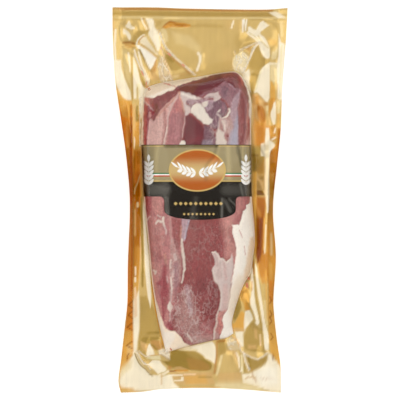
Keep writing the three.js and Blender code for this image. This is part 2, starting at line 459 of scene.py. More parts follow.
# %% The breast's upper side
SEAMS = (
    (2.6, 8, ((-12, -8), (-14, -45), (-16, -78), (-24, -108))),
    (2.2, 8, ((-11, 96), (-13, 72), (-16, 48))),
    (2.0, 7, ((34, 100), (34, 74), (32, 48))),
)


def breast_floor(column, row, x, y):
    return gold_floor(column, row, x, y) + FILM + GAP


def breast_top(column, row, x, y):
    """The solid's rounded form with its troughs between the muscles."""
    base = breast_floor(column, row, x, y) + RIM
    from_side = np.minimum(x - left_rim(y), right_rim(y) - x)
    form = (
        rounded(from_side, SIDE_ROUND)
        * rounded(head_rim(x) - y, HEAD_ROUND)
        * rounded(y - tail_rim(x), TAIL_ROUND)
    )
    troughs = sum(depth * np.exp(-((along(path, x, y)[0] / reach) ** 2)) for depth, reach, path in SEAMS)
    return base + form * np.maximum(0, crest(y) - base - troughs)


print(f"the breast is {crest(45):.0f} mm high at most")

# %% [markdown]
# ## Creases in the films
#
# Where no meat fills the pocket, the two films lie on each other and crease like stiff paper:
# straight ridges with flat slopes between them. So each ridge is a path with a slope on either
# side, like the two sides of a roof, and where roofs meet the higher one shows, which makes the
# valleys. Thin pinched lines are laid on top, and a few rounded puffs stand in the corners.

# %% Ridges, pinches and puffs
# Each ridge: its height, the width of its left and right slope, and its path.
RIDGES = (
    (2.4, 26, 15, "155,24 160,32 163,43 168,52 177,60.5 186,68 196,76.5"),
    (1.6, 7, 9, "137,42 144,47 151,52.5 158,58.5"),
    (1.5, 6, 8, "143,17 146,24 149,30 153,40 158,52"),
    (1.6, 6, 9, "160,45 160.5,55 158.5,66 161,81"),
    (1.6, 9, 6, "160.5,50 164,60 168,70 173,82"),
    (2, 9, 7, "132,50 136,60 141,71 146,81 148.5,90"),
    (1.4, 5, 5, "137,47 137.5,42 140,38 144,35 149,33"),
    (1.4, 6, 6, "199,50 200,57 198,66 195,74"),
    (2, 9, 9, "242,31 250,34 258,39 264,43 268,49 269.5,59"),
    (2, 10, 9, "259,40 252,50 249,60 243,76"),
    (1.4, 5, 6, "266,60 272,60 279,62"),
    (1.8, 14, 8, "256,71 258,84 253,95"),
    (0.5, 5, 4, "223,17 223.5,28 222,44"),
    (0.4, 4, 4, "234,18 233,26 230,32"),
    (0.6, 4, 4, "244.5,17 244.5,25 243,33"),
    (1.5, 7, 7, "253,93 260,98 266,103 273,99 282,96"),
    (1.4, 5, 6, "267.5,104 269,115 272,125 276,128"),
    (1.3, 5, 5, "276,141 270,150 262,153"),
    (1.8, 8, 5, "246,290 250,305 254,317 259,328"),
    (1.5, 5, 5, "251,277 253.5,290 259,312 263,330"),
    (1.5, 7, 6, "235,335 240,350 243,362 246,374"),
    (1.2, 5, 5, "231,350 235,361 240,372"),
    (1.5, 7, 6, "240,349 247,355 257,360 268,351"),
    (1.5, 8, 6, "147,342 156,346 164,353 170,361"),
    (1.4, 6, 6, "146,357 155,355 165,356.5 170,361"),
    (1.3, 6, 5, "134.5,350 141,361 152,374"),
    (1.3, 9, 9, "170,350 190,350 204,357 213,362 214,374"),
)

# Each pinched line: its height, its half width and its path.
PINCHES = (
    (0.7, 1.1, "160,29 162,40 165,48 170,53.5 177,60 186,68 195,75.5"),
    (0.7, 1.1, "138,42.5 144,46.5 151,52 159,59"),
    (0.5, 1, "142,39 149,46 157,55"),
    (0.7, 1.2, "160.5,47 163,54 164.5,61 171.5,81"),
    (0.5, 1, "159,60 158,68 161,80"),
    (0.6, 1.1, "133,55 137,63 141,71 148,88"),
    (0.6, 1.1, "143,18 146,24 149,30"),
    (0.6, 1, "257,42.5 252,50 249,59 243,74"),
    (0.5, 1, "240,51.5 248,47 259,41"),
    (0.5, 1, "234,49.5 236.5,55 243,52 249,58"),
    (0.5, 1, "236,56 234,62 236,70"),
    (0.6, 1, "247,298 252,310 258,327"),
    (0.5, 1, "249,284 252,298 257,312"),
    (0.5, 1, "226,338 229,349 236,351"),
    (0.6, 1, "236,340 241,351 249.5,369"),
    (0.5, 1, "231,352 235,363 240.5,372"),
    (0.6, 1, "240,350 247,355 257,359.5 263,356 268,351"),
    (0.5, 1, "137,351 141,359 147,365 151.5,371"),
    (0.5, 1, "140,352 147,355.5 158,354.5 169,360"),
    (0.4, 1, "153,376 153.5,383"),
    (0.4, 1, "162,376 161.5,383"),
    (0.4, 1, "218,362 218,372 216,381"),
)

# Each puff: its height, its middle, its half width and half length in millimetres.
PUFFS = (
    (2, "129,31", 8, 11),
    (2.2, "268,35", 10, 14),
    (1.2, "261,114", 5, 10),
    (-1.2, "178,24.5", 14, 3),
    (-1.2, "129,45", 7, 3),
    (1, "232,343", 6, 8),
    (-1, "180,370", 9, 2),
    (1, "268,352", 9, 12),
)

SEAL_LINES = (171.2, 166.0, 162.6)  # across the top weld
SEAL_RISE, SEAL_HALF, SEAL_LEAN = 0.22, 0.9, 0.009
CREST_ROUND = 1.6  # how much the crest of a ridge is rounded
RIDGE_ENDS, PINCH_ENDS = 6, 8  # one over the share of its length in which each rises from nothing
FREE_FROM, FREE_AT = 0.02, 0.25  # how far past the meat's outline creases start and are in full
FLAT_FLANGE = 0.8  # how much of the creases the welded flange loses
SWELLS, FULL_TURN = 9, 6.28  # how many waves make one kind, and one wave in radians
BROAD_WAVE, FINE_WAVE = (0.3, 70, 5), (0.1, 34, 11)  # height, size, seed


def roof(height, left, right, text, x, y):
    """A ridge with a straight slope on either side, lower towards its ends."""
    path, raised = places(text), np.zeros(x.shape)
    near = close_to(path, max(left, right) + 1, x, y)
    away, side, share = along(path, x[near], y[near])
    width = np.where(side > 0, left, right)
    ends = np.clip(np.minimum(share, 1 - share) * RIDGE_ENDS, 0, 1) ** 0.5
    raised[near] = height * ends * np.maximum(0, 1 - (np.hypot(away, CREST_ROUND) - CREST_ROUND) / width)
    return raised


def pinch(height, half, text, x, y):
    """A thin raised line that ends in points."""
    path, raised = places(text), np.zeros(x.shape)
    near = close_to(path, 3 * half, x, y)
    away, _, share = along(path, x[near], y[near])
    ends = np.clip(np.minimum(share, 1 - share) * PINCH_ENDS, 0, 1)
    raised[near] = height * ends * np.exp(-((away / half) ** 2))
    return raised


def puff(height, text, wide, long, x, y):
    """A rounded dome, or a dent where its height is below 0."""
    px, py = places(text)[0]
    return height * smooth(1.25, 0.35, np.hypot((x - px) / wide, (y - py) / long))


def swells(x, y, size, seed):
    """Soft random waves: the mean of a few that run in different directions."""
    rng = np.random.default_rng(seed)
    height = np.zeros(x.shape)
    for _ in range(SWELLS):
        turn, phase, stretch = rng.uniform(0, math.pi), rng.uniform(0, FULL_TURN), rng.uniform(0.6, 1.7)
        onward = (x * math.cos(turn) + y * math.sin(turn)) / (size * stretch)
        height += np.sin(FULL_TURN * onward + phase)
    return height / SWELLS


def waves(x, y, *kinds):
    """Swells of several kinds, each with its height, its size in millimetres and its seed."""
    return sum(height * swells(x, y, size, seed) for height, size, seed in kinds)


def creases(column, row, x, y):
    """How far both films stand proud of the solid's smooth form, outside the meat."""
    beyond = np.maximum(off_centre(column), off_centre(row)) - 1
    free = smooth(FREE_FROM, FREE_AT, beyond)
    past_lip = np.maximum(np.maximum(1 - column, column - 4), np.maximum(1 - row, row - 4))
    flange = FLAT_FLANGE * smooth(0, 0.4, past_lip)
    height = np.max([roof(*ridge, x, y) for ridge in RIDGES], 0)
    height += sum(pinch(*line, x, y) for line in PINCHES)
    height += sum(puff(*dome, x, y) for dome in PUFFS) + waves(x, y, BROAD_WAVE)
    seals = sum(np.exp(-(((y - line + SEAL_LEAN * x) / SEAL_HALF) ** 2)) for line in SEAL_LINES)
    return free * (1 - flange) * height + SEAL_RISE * seals + waves(x, y, FINE_WAVE)


print(len(RIDGES), "ridges,", len(PINCHES), "pinched lines,", len(PUFFS), "puffs")

# %% [markdown]
# ## From a flat grid to a sheet with a thickness
#
# A sheet starts as a flat grid of squares, which is extruded once to close it. Before any real
# shape is given, each corner's own place says which column, row and layer it is. Then all corners
# are moved at once to where those three put them.

# %% Closed sheets
SHARP = 70  # degrees between two faces, past which the edge between them isn't smoothed


def two_layers(name, bm):
    """Extrudes a flat bmesh up by one, and returns its mesh and the places of its corners."""
    layer = bmesh.ops.extrude_face_region(bm, geom=bm.faces[:], use_keep_orig=True)
    upper = [v for v in layer["geom"] if isinstance(v, bmesh.types.BMVert)]
    bmesh.ops.translate(bm, verts=upper, vec=(0, 0, 1))
    bmesh.ops.recalc_face_normals(bm, faces=bm.faces)
    mesh = bpy.data.meshes.new(name)
    bm.to_mesh(mesh)
    bm.free()
    flat = np.empty(len(mesh.vertices) * 3, np.float32)
    mesh.vertices.foreach_get("co", flat)
    return mesh, flat.reshape(-1, 3)


def shaped(mesh, corners):
    """The piece that a mesh becomes when its corners move to their places in millimetres."""
    mesh.vertices.foreach_set("co", (corners * MM).astype(np.float32).ravel())
    mesh.shade_smooth()
    mesh.set_sharp_from_angle(angle=math.radians(SHARP))
    piece = bpy.data.objects.new(mesh.name, mesh)
    scene.collection.objects.link(piece)
    return piece


def closed_sheet(name, columns, rows, place):
    """A piece of two layers and its corners, which place(column, row, upper) gives in millimetres."""
    bm = bmesh.new()
    wide, long = len(columns) - 1, len(rows) - 1
    bmesh.ops.create_grid(bm, x_segments=wide, y_segments=long, size=0.5)
    bmesh.ops.translate(bm, verts=bm.verts, vec=(0.5, 0.5, 0))
    bmesh.ops.scale(bm, verts=bm.verts, vec=(wide, long, 1))
    mesh, flat = two_layers(name, bm)
    column = columns[np.rint(flat[:, 0]).astype(int)]
    row = rows[np.rint(flat[:, 1]).astype(int)]
    corners = place(column, row, flat[:, 2] > 0.5)
    return shaped(mesh, corners), corners


def mark(piece, name, values):
    """Keeps one number for each corner of a piece, for its material to read."""
    layer = piece.data.attributes.new(name, "FLOAT", "POINT")
    layer.data.foreach_set("value", np.asarray(values, np.float32))


def mark_colour(piece, name, values):
    """Keeps a colour, and one more number as its alpha, for each corner of a piece."""
    layer = piece.data.attributes.new(name, "FLOAT_COLOR", "POINT")
    layer.data.foreach_set("color", np.asarray(values, np.float32).ravel())


def belongs(piece, node):
    """The piece stands for a solid of the frame: it hangs under the root, and the solid is hidden."""
    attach(piece, "root")
    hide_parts(node)
    piece.data.calc_loop_triangles()
    print(f"{piece.name}: {len(piece.data.loop_triangles):,} triangles")


# %% [markdown]
# ## Gold film
#
# The base is a metallised film, formed into a shallow pocket. Its top and bottom edges are cut
# with a fine zigzag knife, which the outermost row of corners follows in turn.

# %% Gold film
GOLD_COLUMNS = spread((12, 32, 74, 32, 12))
GOLD_ROWS = spread((12, 26, 200, 52, 12))
TOOTH = 0.28  # half the depth of the knife's teeth
HAIR = 1e-6  # what counts as nothing between two places on the grid


def at_cut(column, row):
    """How far the knife's teeth move the two cut ends, up and down in turn."""
    turn = np.where(np.searchsorted(GOLD_COLUMNS, column - HAIR) % 2 == 0, 1, -1)
    ends = np.where(row <= GOLD_ROWS[0], -1, np.where(row >= GOLD_ROWS[-1], 1, 0))
    return TOOTH * turn * ends


def creased_floor(column, row, x, y):
    """The underside of the gold film with its creases, none of which goes below the ground."""
    return np.maximum(0, gold_floor(column, row, x, y) + creases(column, row, x, y))


def gold_place(column, row, upper):
    x, y = crossing(column, row)
    z = creased_floor(column, row, x, y) + np.where(upper, FILM, 0)
    return np.stack([x, y + at_cut(column, row), z], 1)


gold, corners = closed_sheet("gold_film_creased", GOLD_COLUMNS, GOLD_ROWS, gold_place)
belongs(gold, "gold_film")

# %% [markdown]
# ## What the gold shows
#
# A photograph of gold film is a picture of its surroundings. Broad lamps show as cream where a
# facet leans towards them, the open room as khaki, and a wall of the pocket that faces another
# one as amber or brown. The relief alone is too fine for this, so each of these tones is also
# laid on as areas and lines, in order, like paint. A tone is a colour and how metallic it stays.

# %% Tones of the gold
ROOM, SCATTERED = 0.62, 1.03  # what metal mirrors and what a matt surface scatters
GLARE = 0.02  # what the clear film over the gold adds


def tone(red, green, blue, metallic):
    """The base colour that looks like the given one in this room, and its metallic share."""
    level = metallic * ROOM + (1 - metallic) * SCATTERED
    return np.array([min(1.0, (c - GLARE) / level) for c in srgb(red, green, blue)[:3]] + [metallic])


TONES = {
    "khaki": tone(212, 182, 119, 0.55),
    "sand": tone(222, 198, 144, 0.5),
    "olive": tone(182, 151, 86, 0.5),
    "moss": tone(158, 130, 66, 0.4),
    "bronze": tone(188, 138, 80, 0.4),
    "tan": tone(214, 174, 116, 0.4),
    "pale": tone(233, 212, 164, 0.4),
    "ivory": tone(240, 226, 184, 0.3),
    "cream": tone(249, 236, 210, 0.2),
    "blaze": tone(254, 246, 230, 0.1),
    "honey": tone(226, 172, 88, 0.45),
    "amber": tone(206, 146, 66, 0.4),
    "rust": tone(182, 116, 44, 0.4),
    "saffron": tone(230, 142, 57, 0.4),
    "ember": tone(200, 104, 48, 0.4),
    "brown": tone(160, 94, 34, 0.35),
    "deep": tone(130, 66, 24, 0.3),
    "umber": tone(114, 76, 24, 0.3),
    "orange": tone(222, 116, 48, 0.1),
    "peach": tone(242, 210, 172, 0.2),
    "lilac": tone(243, 230, 210, 0.1),
}

# Each one: tone, share, softness of its border, half width if it is a line, places. The tones are
# painted reflections: cream, ivory, blaze and lilac painted highlights, brown, deep and umber painted shade.
PAINT = (
    # the weld and the cut edge at the top
    ("olive", 0.9, 0.8, 2.3, "111,13.4 150,13.5 200,14.2 272,14.5"),
    ("bronze", 1, 0.6, 1.3, "111,8.9 150,9 190,9.8 222,10.2 272,10.2"),
    ("pale", 0.45, 0.8, 1.1, "111,17.3 150,17.6 200,18.2 286,18.2"),
    ("olive", 0.5, 0.6, 0.5, "111,19.4 141,19.4"),
    ("olive", 0.5, 1, "111,8 118.6,8 118.6,21 111,21"),
    ("olive", 0.5, 0.6, 0.5, "240,19.6 286,19.6"),
    ("cream", 0.9, 0.9, "269,12.5 276,11.5 281,14 285.5,18 278,18 273,15.5"),
    ("tan", 0.7, 0.8, 1, "113.4,20 113.8,34"),
    # left flange beside the head
    ("cream", 0.8, 0.7, 1.1, "115.6,30 114.8,45 115.4,60 116,72"),
    ("khaki", 0.9, 1, "118,20 130,20 131,50 121,52 118,40"),
    ("cream", 1, 1.2, "113,60 121,60 121.5,68 123.5,74 126,80 128,86 130.5,92 131.5,100 127,101 123,98 "
     "119,92 116,84"),
    ("sand", 0.7, 1, "121.5,50 126.5,50 128.5,60 129,72 130.5,82 131.5,90 128,86 124,78 122.5,70 122,60"),
    ("olive", 0.5, 0.9, 0.8, "122.5,56 123,68 126,78 130,88"),
    ("honey", 0.8, 1.2, "114.6,84 118,89 121,95 124,99 121,101 117.6,99"),
    # upper left puff, the slit under it and the pleat beside it
    ("cream", 0.85, 0.6, "129,20.5 130.5,23 131.5,26 134.5,27 135,29 131,30 128.5,28.5 126,27.5 125,26 "
     "127,24.5 127.5,22.5"),
    ("cream", 0.9, 0.6, "122.8,31 123.5,28 127.5,31 130,33.5 131,36.5 130.8,39 129.5,40.5 128,38.5 126.8,36 "
     "125.5,34.5 123,34"),
    ("olive", 0.75, 1.2, "133,33 138,30.5 144,29.5 149.5,30 150,32 147,33.5 142,35 139,37.5 136.5,41 "
     "134.5,45 131.5,46 132,42 133,37"),
    ("amber", 0.5, 0.9, "122.6,42 134,42.5 135.5,46 131.5,48.5 126,47"),
    ("brown", 0.7, 0.7, 0.7, "123,42.4 128,42 134.5,43.2"),
    ("cream", 0.95, 0.8, "127.5,52 129,52.5 130,56 130.5,62 130.8,70 130.5,73 129.6,72 128.8,64 127.8,57"),
    ("cream", 1, 0.8, "145.5,18 152,18.5 154,21 154.6,27 156,29 158.5,33 160,40 160.6,46 158.5,51.5 "
     "157.3,51.5 155.5,47 149,36 148.5,33 149.5,30 149,27 147,22"),
    ("tan", 0.9, 0.5, 0.6, "143.3,18 145,23 147,27 149,30"),
    ("cream", 0.85, 0.5, 0.8, "141.5,18.5 143.5,24 147,29"),
    # head region, left: facets between the creases
    ("cream", 0.8, 0.7, "139.5,40 142,37.5 146,36 149,40 157,52 159.5,55.5 157,55 152,51 146,46.5 140,43"),
    ("khaki", 1, 0.7, "146,36 149,36 151.5,40 158,53 156,52 148,40"),
    ("cream", 0.95, 0.5, 0.7, "136.5,46 137,42 138.5,39 141,36.5 144,35"),
    ("amber", 0.8, 0.4, 0.5, "138.4,43 139.5,40.5 141.5,38 144,36"),
    ("blaze", 1, 0.8, "136.5,45 139,45 146,49.5 152,54 156.5,58 155.5,60 153.5,65 151,69 149.8,70 148.5,67 "
     "143,56 140.5,50.5 137.5,48"),
    ("tan", 0.9, 0.5, 0.6, "138.8,43.5 144,47 150,51.5 155,56 157.5,57.5"),
    ("moss", 0.9, 0.6, 0.9, "139.5,50 142.5,56 145.5,63 149,69.5 153,73.5 156.5,75"),
    ("bronze", 0.8, 0.8, "155.5,60 157,60.5 157,66 156.5,71 154,72.5 151,71 153.5,66"),
    ("tan", 0.8, 1.2, "148.6,70.6 157,73 158.6,80 150.4,80"),
    ("pale", 0.7, 1, 1.3, "162,79 172,77.4 178,76"),
    ("pale", 0.7, 0.9, "160.5,30 163,28.5 166,30 168,36 168,42 164,42"),
    ("olive", 0.8, 1, "165.5,54 170,56.5 178,63 182,68 176,71 171,70 166.5,65 164.6,60"),
    ("moss", 0.8, 0.9, "165.5,54 170,56.5 175,61 172,63 168,60"),
    ("lilac", 0.95, 0.5, 0.8, "160,33 162,40 165,46 168,50 177,59.2 186,67 195,75"),
    ("bronze", 0.95, 0.5, 0.7, "166,51 169,54.6 176,61.3 190,73.5"),
    ("peach", 0.9, 0.5, 0.7, "160.5,47 163,52 164,58 168,68 172,80"),
    # left wall of the pocket beside the head, between the lip and the meat
    ("olive", 0.9, 0.6, 0.7, "131.8,54 132.4,100"),
    ("cream", 1, 0.8, "133.2,56 137,66 138.5,72 139.5,77 140.5,80 142,84 145,88 146,89 144,93 143,99 "
     "133.8,99 133.2,80"),
    ("ivory", 0.9, 1.2, "136,84 140,84 140,99 136,99"),
    ("khaki", 0.9, 0.8, "134.5,52 138,52 141,62 144,70 149,80 148,82 144,76 140,68 136,58"),
    ("olive", 0.95, 0.7, "138.5,66 140.5,71 142,76 146.5,87 144.5,88 142,84.5 140.2,80 139.3,74 138.3,70"),
    ("lilac", 0.95, 0.5, 0.8, "134.5,50 136,56 138,62 140.5,68 143,73 146,78 149,82"),
    ("cream", 0.95, 0.5, 0.9, "138.5,52 142,66 149,80"),
    ("orange", 0.9, 0.5, 0.8, "147,87 149.8,90.5"),
    ("cream", 0.9, 0.9, "144,75 149,82 149,86 147,84"),
    ("orange", 0.6, 0.5, 0.6, "149,88.5 154,88 158,86 161,84"),
    ("cream", 1, 0.8, "139.2,95 144,95 143,118 140.6,119 139.8,110"),
    ("khaki", 0.9, 0.7, 0.8, "137.4,88 137.4,107"),
    # slit above the meat and the broad smooth field to the right of it
    ("amber", 0.9, 0.8, "163,27.4 166,24.5 170,21.2 174,22 182,22.6 190,24 191,27 180,27.4 172,27 165,29"),
    ("brown", 0.7, 0.7, 0.8, "163,27 166,24 170,21.4 174,22.2 176,24.6 186,25.4"),
    ("olive", 0.45, 1.5, "156,20 164,21 160,26 156,26"),
    ("olive", 0.5, 1.6, 1.8, "193,26 205,25.5 221,26.5"),
    ("pale", 0.4, 3, "172,32 190,36 200,46 203,60 196,52 186,46 176,44"),
    ("cream", 0.95, 0.7, 1.2, "198,53 200,56 200.2,60 199,65 197,70.5"),
    ("tan", 0.25, 3, "225,20 245,20 245,30 225,30"),
    ("olive", 0.45, 3, "236,34 250,37 252,48 238,52 234,42"),
    ("tan", 0.3, 3, "222,50 232,48 233,72 222,72"),
    ("olive", 0.3, 3, "203,66 220,62 232,60 233,70 214,76 203,77"),
    ("cream", 0.9, 0.5, 0.9, "233.5,21 231.5,28"),
    ("blaze", 1, 0.6, "241.8,20 244,18.5 244.8,20 244,26 243,32.5 241.8,32 242,26"),
    ("blaze", 1, 0.6, "246,19 247.3,20 246.5,26 246,31 245,31 245.2,25"),
    # upper right puff and its broad folds
    ("cream", 1, 0.8, "248,27 250,26.5 253,29 256,30 258,26 260,22.5 263,20.5 265,22.5 269,25.5 265,28.5 "
     "261.5,31 260,33 261,35 264,37 265.5,39 267,42 269,46.5 270,50 270,56 269,58.5 266,59 263.5,56.5 "
     "261.5,53 260,49.5 259,45 257,41.5 249,35.5 246,32.8 248,31"),
    ("sand", 0.8, 0.5, 0.6, "249,33 254,36 258,40"),
    ("sand", 0.8, 0.5, 0.7, "258,36 262,42 268,48"),
    ("honey", 0.4, 1.5, "268,37 272,40 277,40 277,45 272,46 269,44"),
    ("olive", 0.6, 0.5, 0.6, "265,21.5 269,23 272,23.5 276,26 277.5,30 278,38 277,44 272,47.5 270.5,49 "
     "270.3,57"),
    ("pale", 0.9, 0.8, "272,52 275,51 277.5,47 278,50 277,56 276,59 272,60 271,57"),
    ("olive", 0.85, 0.8, "248.5,62 250,58 252,54 255,49 257,46 258.5,47 260,51 262,55 265,58.5 269.5,60 "
     "269,62 265,65.5 259,69.5 256,71 252,70 249,67"),
    ("bronze", 0.6, 0.8, "246,48 251,46.5 250.5,51 249,53"),
    ("lilac", 0.95, 0.5, 0.8, "259,43 255,47 252,53 250,58 247.5,63 245.5,68 244,72"),
    ("lilac", 0.7, 0.5, 0.5, "240,49.5 252,44.5 257,42"),
    ("ivory", 0.7, 0.8, "233.5,58 235.5,55.5 238,54 240,52 243,51 246,54 248.5,57 249,60 247.5,63.5 245,67 "
     "243.5,70 242.5,73.5 239,73 236,71.5 234,70 232.8,65"),
    ("cream", 1, 0.7, "248.5,69 249.5,70 250,74 249.5,80 249,84 248,80 244.5,73"),
    ("olive", 0.9, 0.8, "251,74 255,71.5 260,69.5 259.5,74 258,80 256.5,85 254,90 253.5,94 253,100 254,104 "
     "251.5,104 251,95 250,88 250,80"),
    ("moss", 0.7, 0.9, 1.1, "252,84 252.2,95"),
    ("cream", 1, 0.8, "266,64.5 269.8,62.5 270,70 269.6,90 269.3,98 267.5,102 265,101.5 262,97.5 257,92.5 "
     "254,93 255.5,88 257.5,82 259,76 260.5,71 262.5,67.5"),
    ("ivory", 0.8, 0.8, 1, "260.6,72 258,80 255.8,89"),
    # right flange beside the head
    ("cream", 1, 0.9, "278.7,34 281,42 284.6,44 285.2,55 283.6,75 282.4,100 279,100 277.4,98 277,85 276,67 "
     "270.3,65.5 270,62.6 277,63 278.5,55"),
    ("pale", 0.5, 0.8, 1.6, "281.4,22 281.8,36"),
    ("ivory", 0.8, 0.6, 0.9, "281.6,46 279.4,98"),
    ("pale", 0.9, 0.8, "270.5,64 277,64 277,80 274,83 270.5,80"),
    ("honey", 0.9, 0.8, "270.5,81 272,82 274,86 275.3,90 275.5,97 273.5,99.5 270.5,99.5 270,92"),
    ("tan", 0.7, 0.4, 0.5, "277.3,84 277,100"),
    # right wall of the pocket beside the meat
    ("tan", 1, 1.2, "252.5,94 258,94 262,98 270,108 270,147 252,148"),
    ("amber", 0.7, 1, "255,96 259,96 259,105 255,105"),
    ("amber", 0.9, 3, "254,120 266,120 266,147 254,147"),
    ("rust", 0.8, 2.5, "256,125 264,125 264,147 256,147"),
    ("rust", 0.3, 0.7, 1, "253,95 254.4,112 254.4,130"),
    ("sand", 0.8, 0.6, 0.5, "251.8,98 252.2,124"),
    ("rust", 0.8, 0.9, "257,106 258.5,105 262,106 264,109 265.5,113 265.5,118 265,122 262,122.5 259.5,120 "
     "257.5,116 257,110"),
    ("brown", 0.5, 1, 1.6, "259,108 261.6,112 262.6,118"),
    ("bronze", 0.9, 0.8, "263,103 265,101.8 268,103 267.5,106 264,106"),
    ("pale", 0.9, 0.8, "266,106 268.5,106 268.5,114 266.4,114"),
    ("olive", 0.6, 0.8, "266.4,111 268.5,111 268.8,125 266.4,125"),
    ("amber", 0.9, 0.8, "270,98 276,98 274.5,103 272.5,107 270.8,111 269.5,116 268.5,112 268.5,104"),
    ("cream", 1, 0.7, "273.5,103 275.5,101 276,108 275.8,116 275,124.5 273.5,125 271.5,121 270.5,116 "
     "270.8,112 272.5,108"),
    ("pale", 0.9, 0.9, "277,101 280.2,101 280,112 278.6,118 277,113"),
    ("honey", 0.8, 1.2, "276.6,114 280,113 279.4,128 276.6,128"),
    ("tan", 0.7, 0.5, 0.5, "276.5,101 276.7,122"),
    ("amber", 0.9, 0.8, "266,126 276,125 276.4,140 273,141 266,140"),
    ("cream", 0.9, 0.7, "274.6,128 276,128 275.4,133 273.6,133"),
    ("cream", 0.9, 0.7, 0.9, "272,139.6 275.4,137.6"),
    ("amber", 1, 1.6, "269,150 274,146.6 276,141 276.6,128 281,128 281,140 279.6,150 278,160 276.6,172 "
     "274.5,187 273.2,198 273.2,222 268,222 269,196 269,170"),
    ("rust", 0.95, 0.9, 1.4, "279,130 278.6,142 277.4,156 275.6,172 273.4,188"),
    ("rust", 0.9, 1, "269.4,150 276.4,149 275,173 269.6,173"),
    ("umber", 0.35, 1.2, "269.6,151 273,150 273,165 269.6,165"),
    ("cream", 1, 0.7, "265.8,128 265.5,134 265,140 264.8,146 262.5,149 261,152 260,153.2 261.5,154 "
     "260.8,156 263,155.5 264.6,157 264.8,180 264.8,196 266.4,206 268.6,210 268.9,196 268.8,170 269.3,156 "
     "269.8,152.5 271,150 273.8,147.5 274.8,145.5 274,143.5 272,142 269.8,140 268.8,128"),
    ("peach", 0.8, 0.6, 0.7, "265.3,158 265.3,180 265.6,198"),
    ("pale", 0.55, 0.8, 1.5, "267,146 267,198"),
    ("moss", 0.95, 2.2, "251.5,146 264.5,146 264.5,172 262,176 257,174 251.5,172"),
    ("umber", 0.55, 3, "253,158 264,158 264,174 254,174"),
    ("rust", 0.25, 2, "256.6,172 264.4,158 264.6,197 256.6,197"),
    ("umber", 0.8, 0.9, 1, "252,155.4 258,155.6"),
    ("umber", 0.75, 1.5, "253,175 264,176 264,190 253,190"),
    ("tan", 0.5, 0.7, "254.6,176 257,176 261,180.4 263.6,181 263.6,189 262,189 258.6,181.4 255.4,178"),
    ("umber", 1, 0.7, "253.4,190 262,190 265,195.8 258,195.8 253.4,195.4"),
    ("cream", 0.8, 0.9, "260.8,143.6 264.6,143 264.4,156 260.8,156"),
    ("rust", 0.9, 2, "252.5,196 265,197.5 266,205 264.6,218 252.8,218"),
    ("brown", 0.85, 1.6, "257,197 264.8,197.5 264.6,206 262,214 257,206"),
    ("rust", 1, 2, "253.5,218 264.8,217 264,240 263,262 258,259 255.6,256 254.6,240"),
    ("brown", 0.85, 2, "257,218 264,219 263.4,242 262.6,262 258,258 256.6,240"),
    ("deep", 0.65, 1.2, "257,216 260.8,216 260.4,236 259.6,262 256.6,258 256.6,236"),
    ("brown", 0.95, 0.9, "261,205 264.6,206 264.4,252 261,256"),
    ("honey", 0.9, 1, "252.6,172 256.4,172 256.6,190 256,216 256.4,252 254.6,254 253.4,216"),
    ("cream", 0.85, 0.9, "239,66 243,68 247.6,76 249.6,84 251,92 248,90 244,80"),
    ("deep", 0.9, 0.8, 1.3, "261.4,219 260.2,234 259.4,250 259.4,258"),
    ("honey", 0.8, 0.5, 0.7, "264.2,218 264,232 263.2,250"),
    ("cream", 0.95, 0.6, 0.9, "267.5,196 267.5,212"),
    ("cream", 0.75, 0.6, 0.8, "265.8,225 265.2,240 264.4,256"),
    ("amber", 1, 1.6, "267,224 273.4,223 275.6,238 276.4,262 274.4,270 270,262 266.4,256 266.4,240"),
    ("amber", 0.9, 0.9, 1.2, "273.6,214 274.6,228 275.6,240 275.8,256"),
    ("amber", 0.7, 1, "269.6,216 274.6,216 275.4,234 270,234"),
    ("pale", 0.65, 1.2, 1.3, "270.6,234 271,244 271,254"),
    ("amber", 0.75, 0.9, "267.2,214 270,214 270.6,268 266.6,268 265.6,254 266.6,240"),
    # right wall and flange at the lower half
    ("honey", 1, 1, "255,262 262,260 267,266 268.6,300 268.6,335 270.2,352 276.4,360 281.6,371 279.3,354 "
     "275,330 273.7,300 274.7,266 268,261"),
    ("brown", 0.7, 3, "256,250 263,250 263.6,264 257,262"),
    ("amber", 0.85, 1.2, "257,262 262,254 268.6,252 268.8,282 262,284 259,272"),
    ("deep", 0.9, 1, "256.4,246 261,246 260.8,261 257,264"),
    ("rust", 0.6, 2, "258,263 262,254 268.4,253 268.4,276 259.6,278"),
    ("pale", 0.6, 0.9, "263.4,300 267,300 267.6,325 265,325"),
    ("honey", 0.7, 0.6, 0.8, "265.6,270 266.6,300 267.6,320"),
    ("saffron", 0.75, 1, "269,280 273.6,280 275,318 270,318"),
    ("amber", 0.9, 0.8, 1, "273.4,262 273,300"),
    ("honey", 1, 1.2, "269,301 274.4,301 276,322 279,346 281.6,370 276.4,359 271,349 269,330"),
    ("cream", 1, 0.6, "254.8,264 255.5,264 257,268 258,276 259.5,285 261,295 262.5,304 263.8,313 264.8,322 "
     "268.6,335 268.6,350 264.6,350 263.8,338 262.6,326 261.3,316 259.8,306 258,296 256.5,285 255.5,275"),
    ("cream", 1, 0.6, "251.2,268 253,268 253.4,276 254.3,285 254.5,295 255.2,303 257,310 258.5,317 "
     "259.3,323 258,325 255.5,324 254.8,318 252.5,310 250,304 249.7,300 251,296 251.5,288 250.6,280"),
    ("olive", 1, 0.5, 0.9, "253.5,264 254,275 255,285 255.5,295 260,319 261.2,327 262,333"),
    ("brown", 0.7, 0.6, 0.8, "253.4,261 253.8,274"),
    ("amber", 0.9, 0.4, 0.5, "251.8,281 252,290"),
    ("honey", 0.9, 0.8, "244.6,286 248,284 249,292 250,302 250,310 245,310 243,302 240.4,300 240.4,290"),
    ("amber", 0.8, 0.9, "245,302 250,302 250,310 245,310"),
    ("olive", 0.9, 0.5, 0.8, "248.5,303 253.5,315 255,321"),
    ("moss", 0.9, 0.8, "239.4,296 241.6,307 238,317 234.2,321.4 233.2,318 236.2,306"),
    ("honey", 1, 0.9, "241,311 244.6,313 244.6,330 237,331.6 232.5,327.6 231.5,325 235,322.4"),
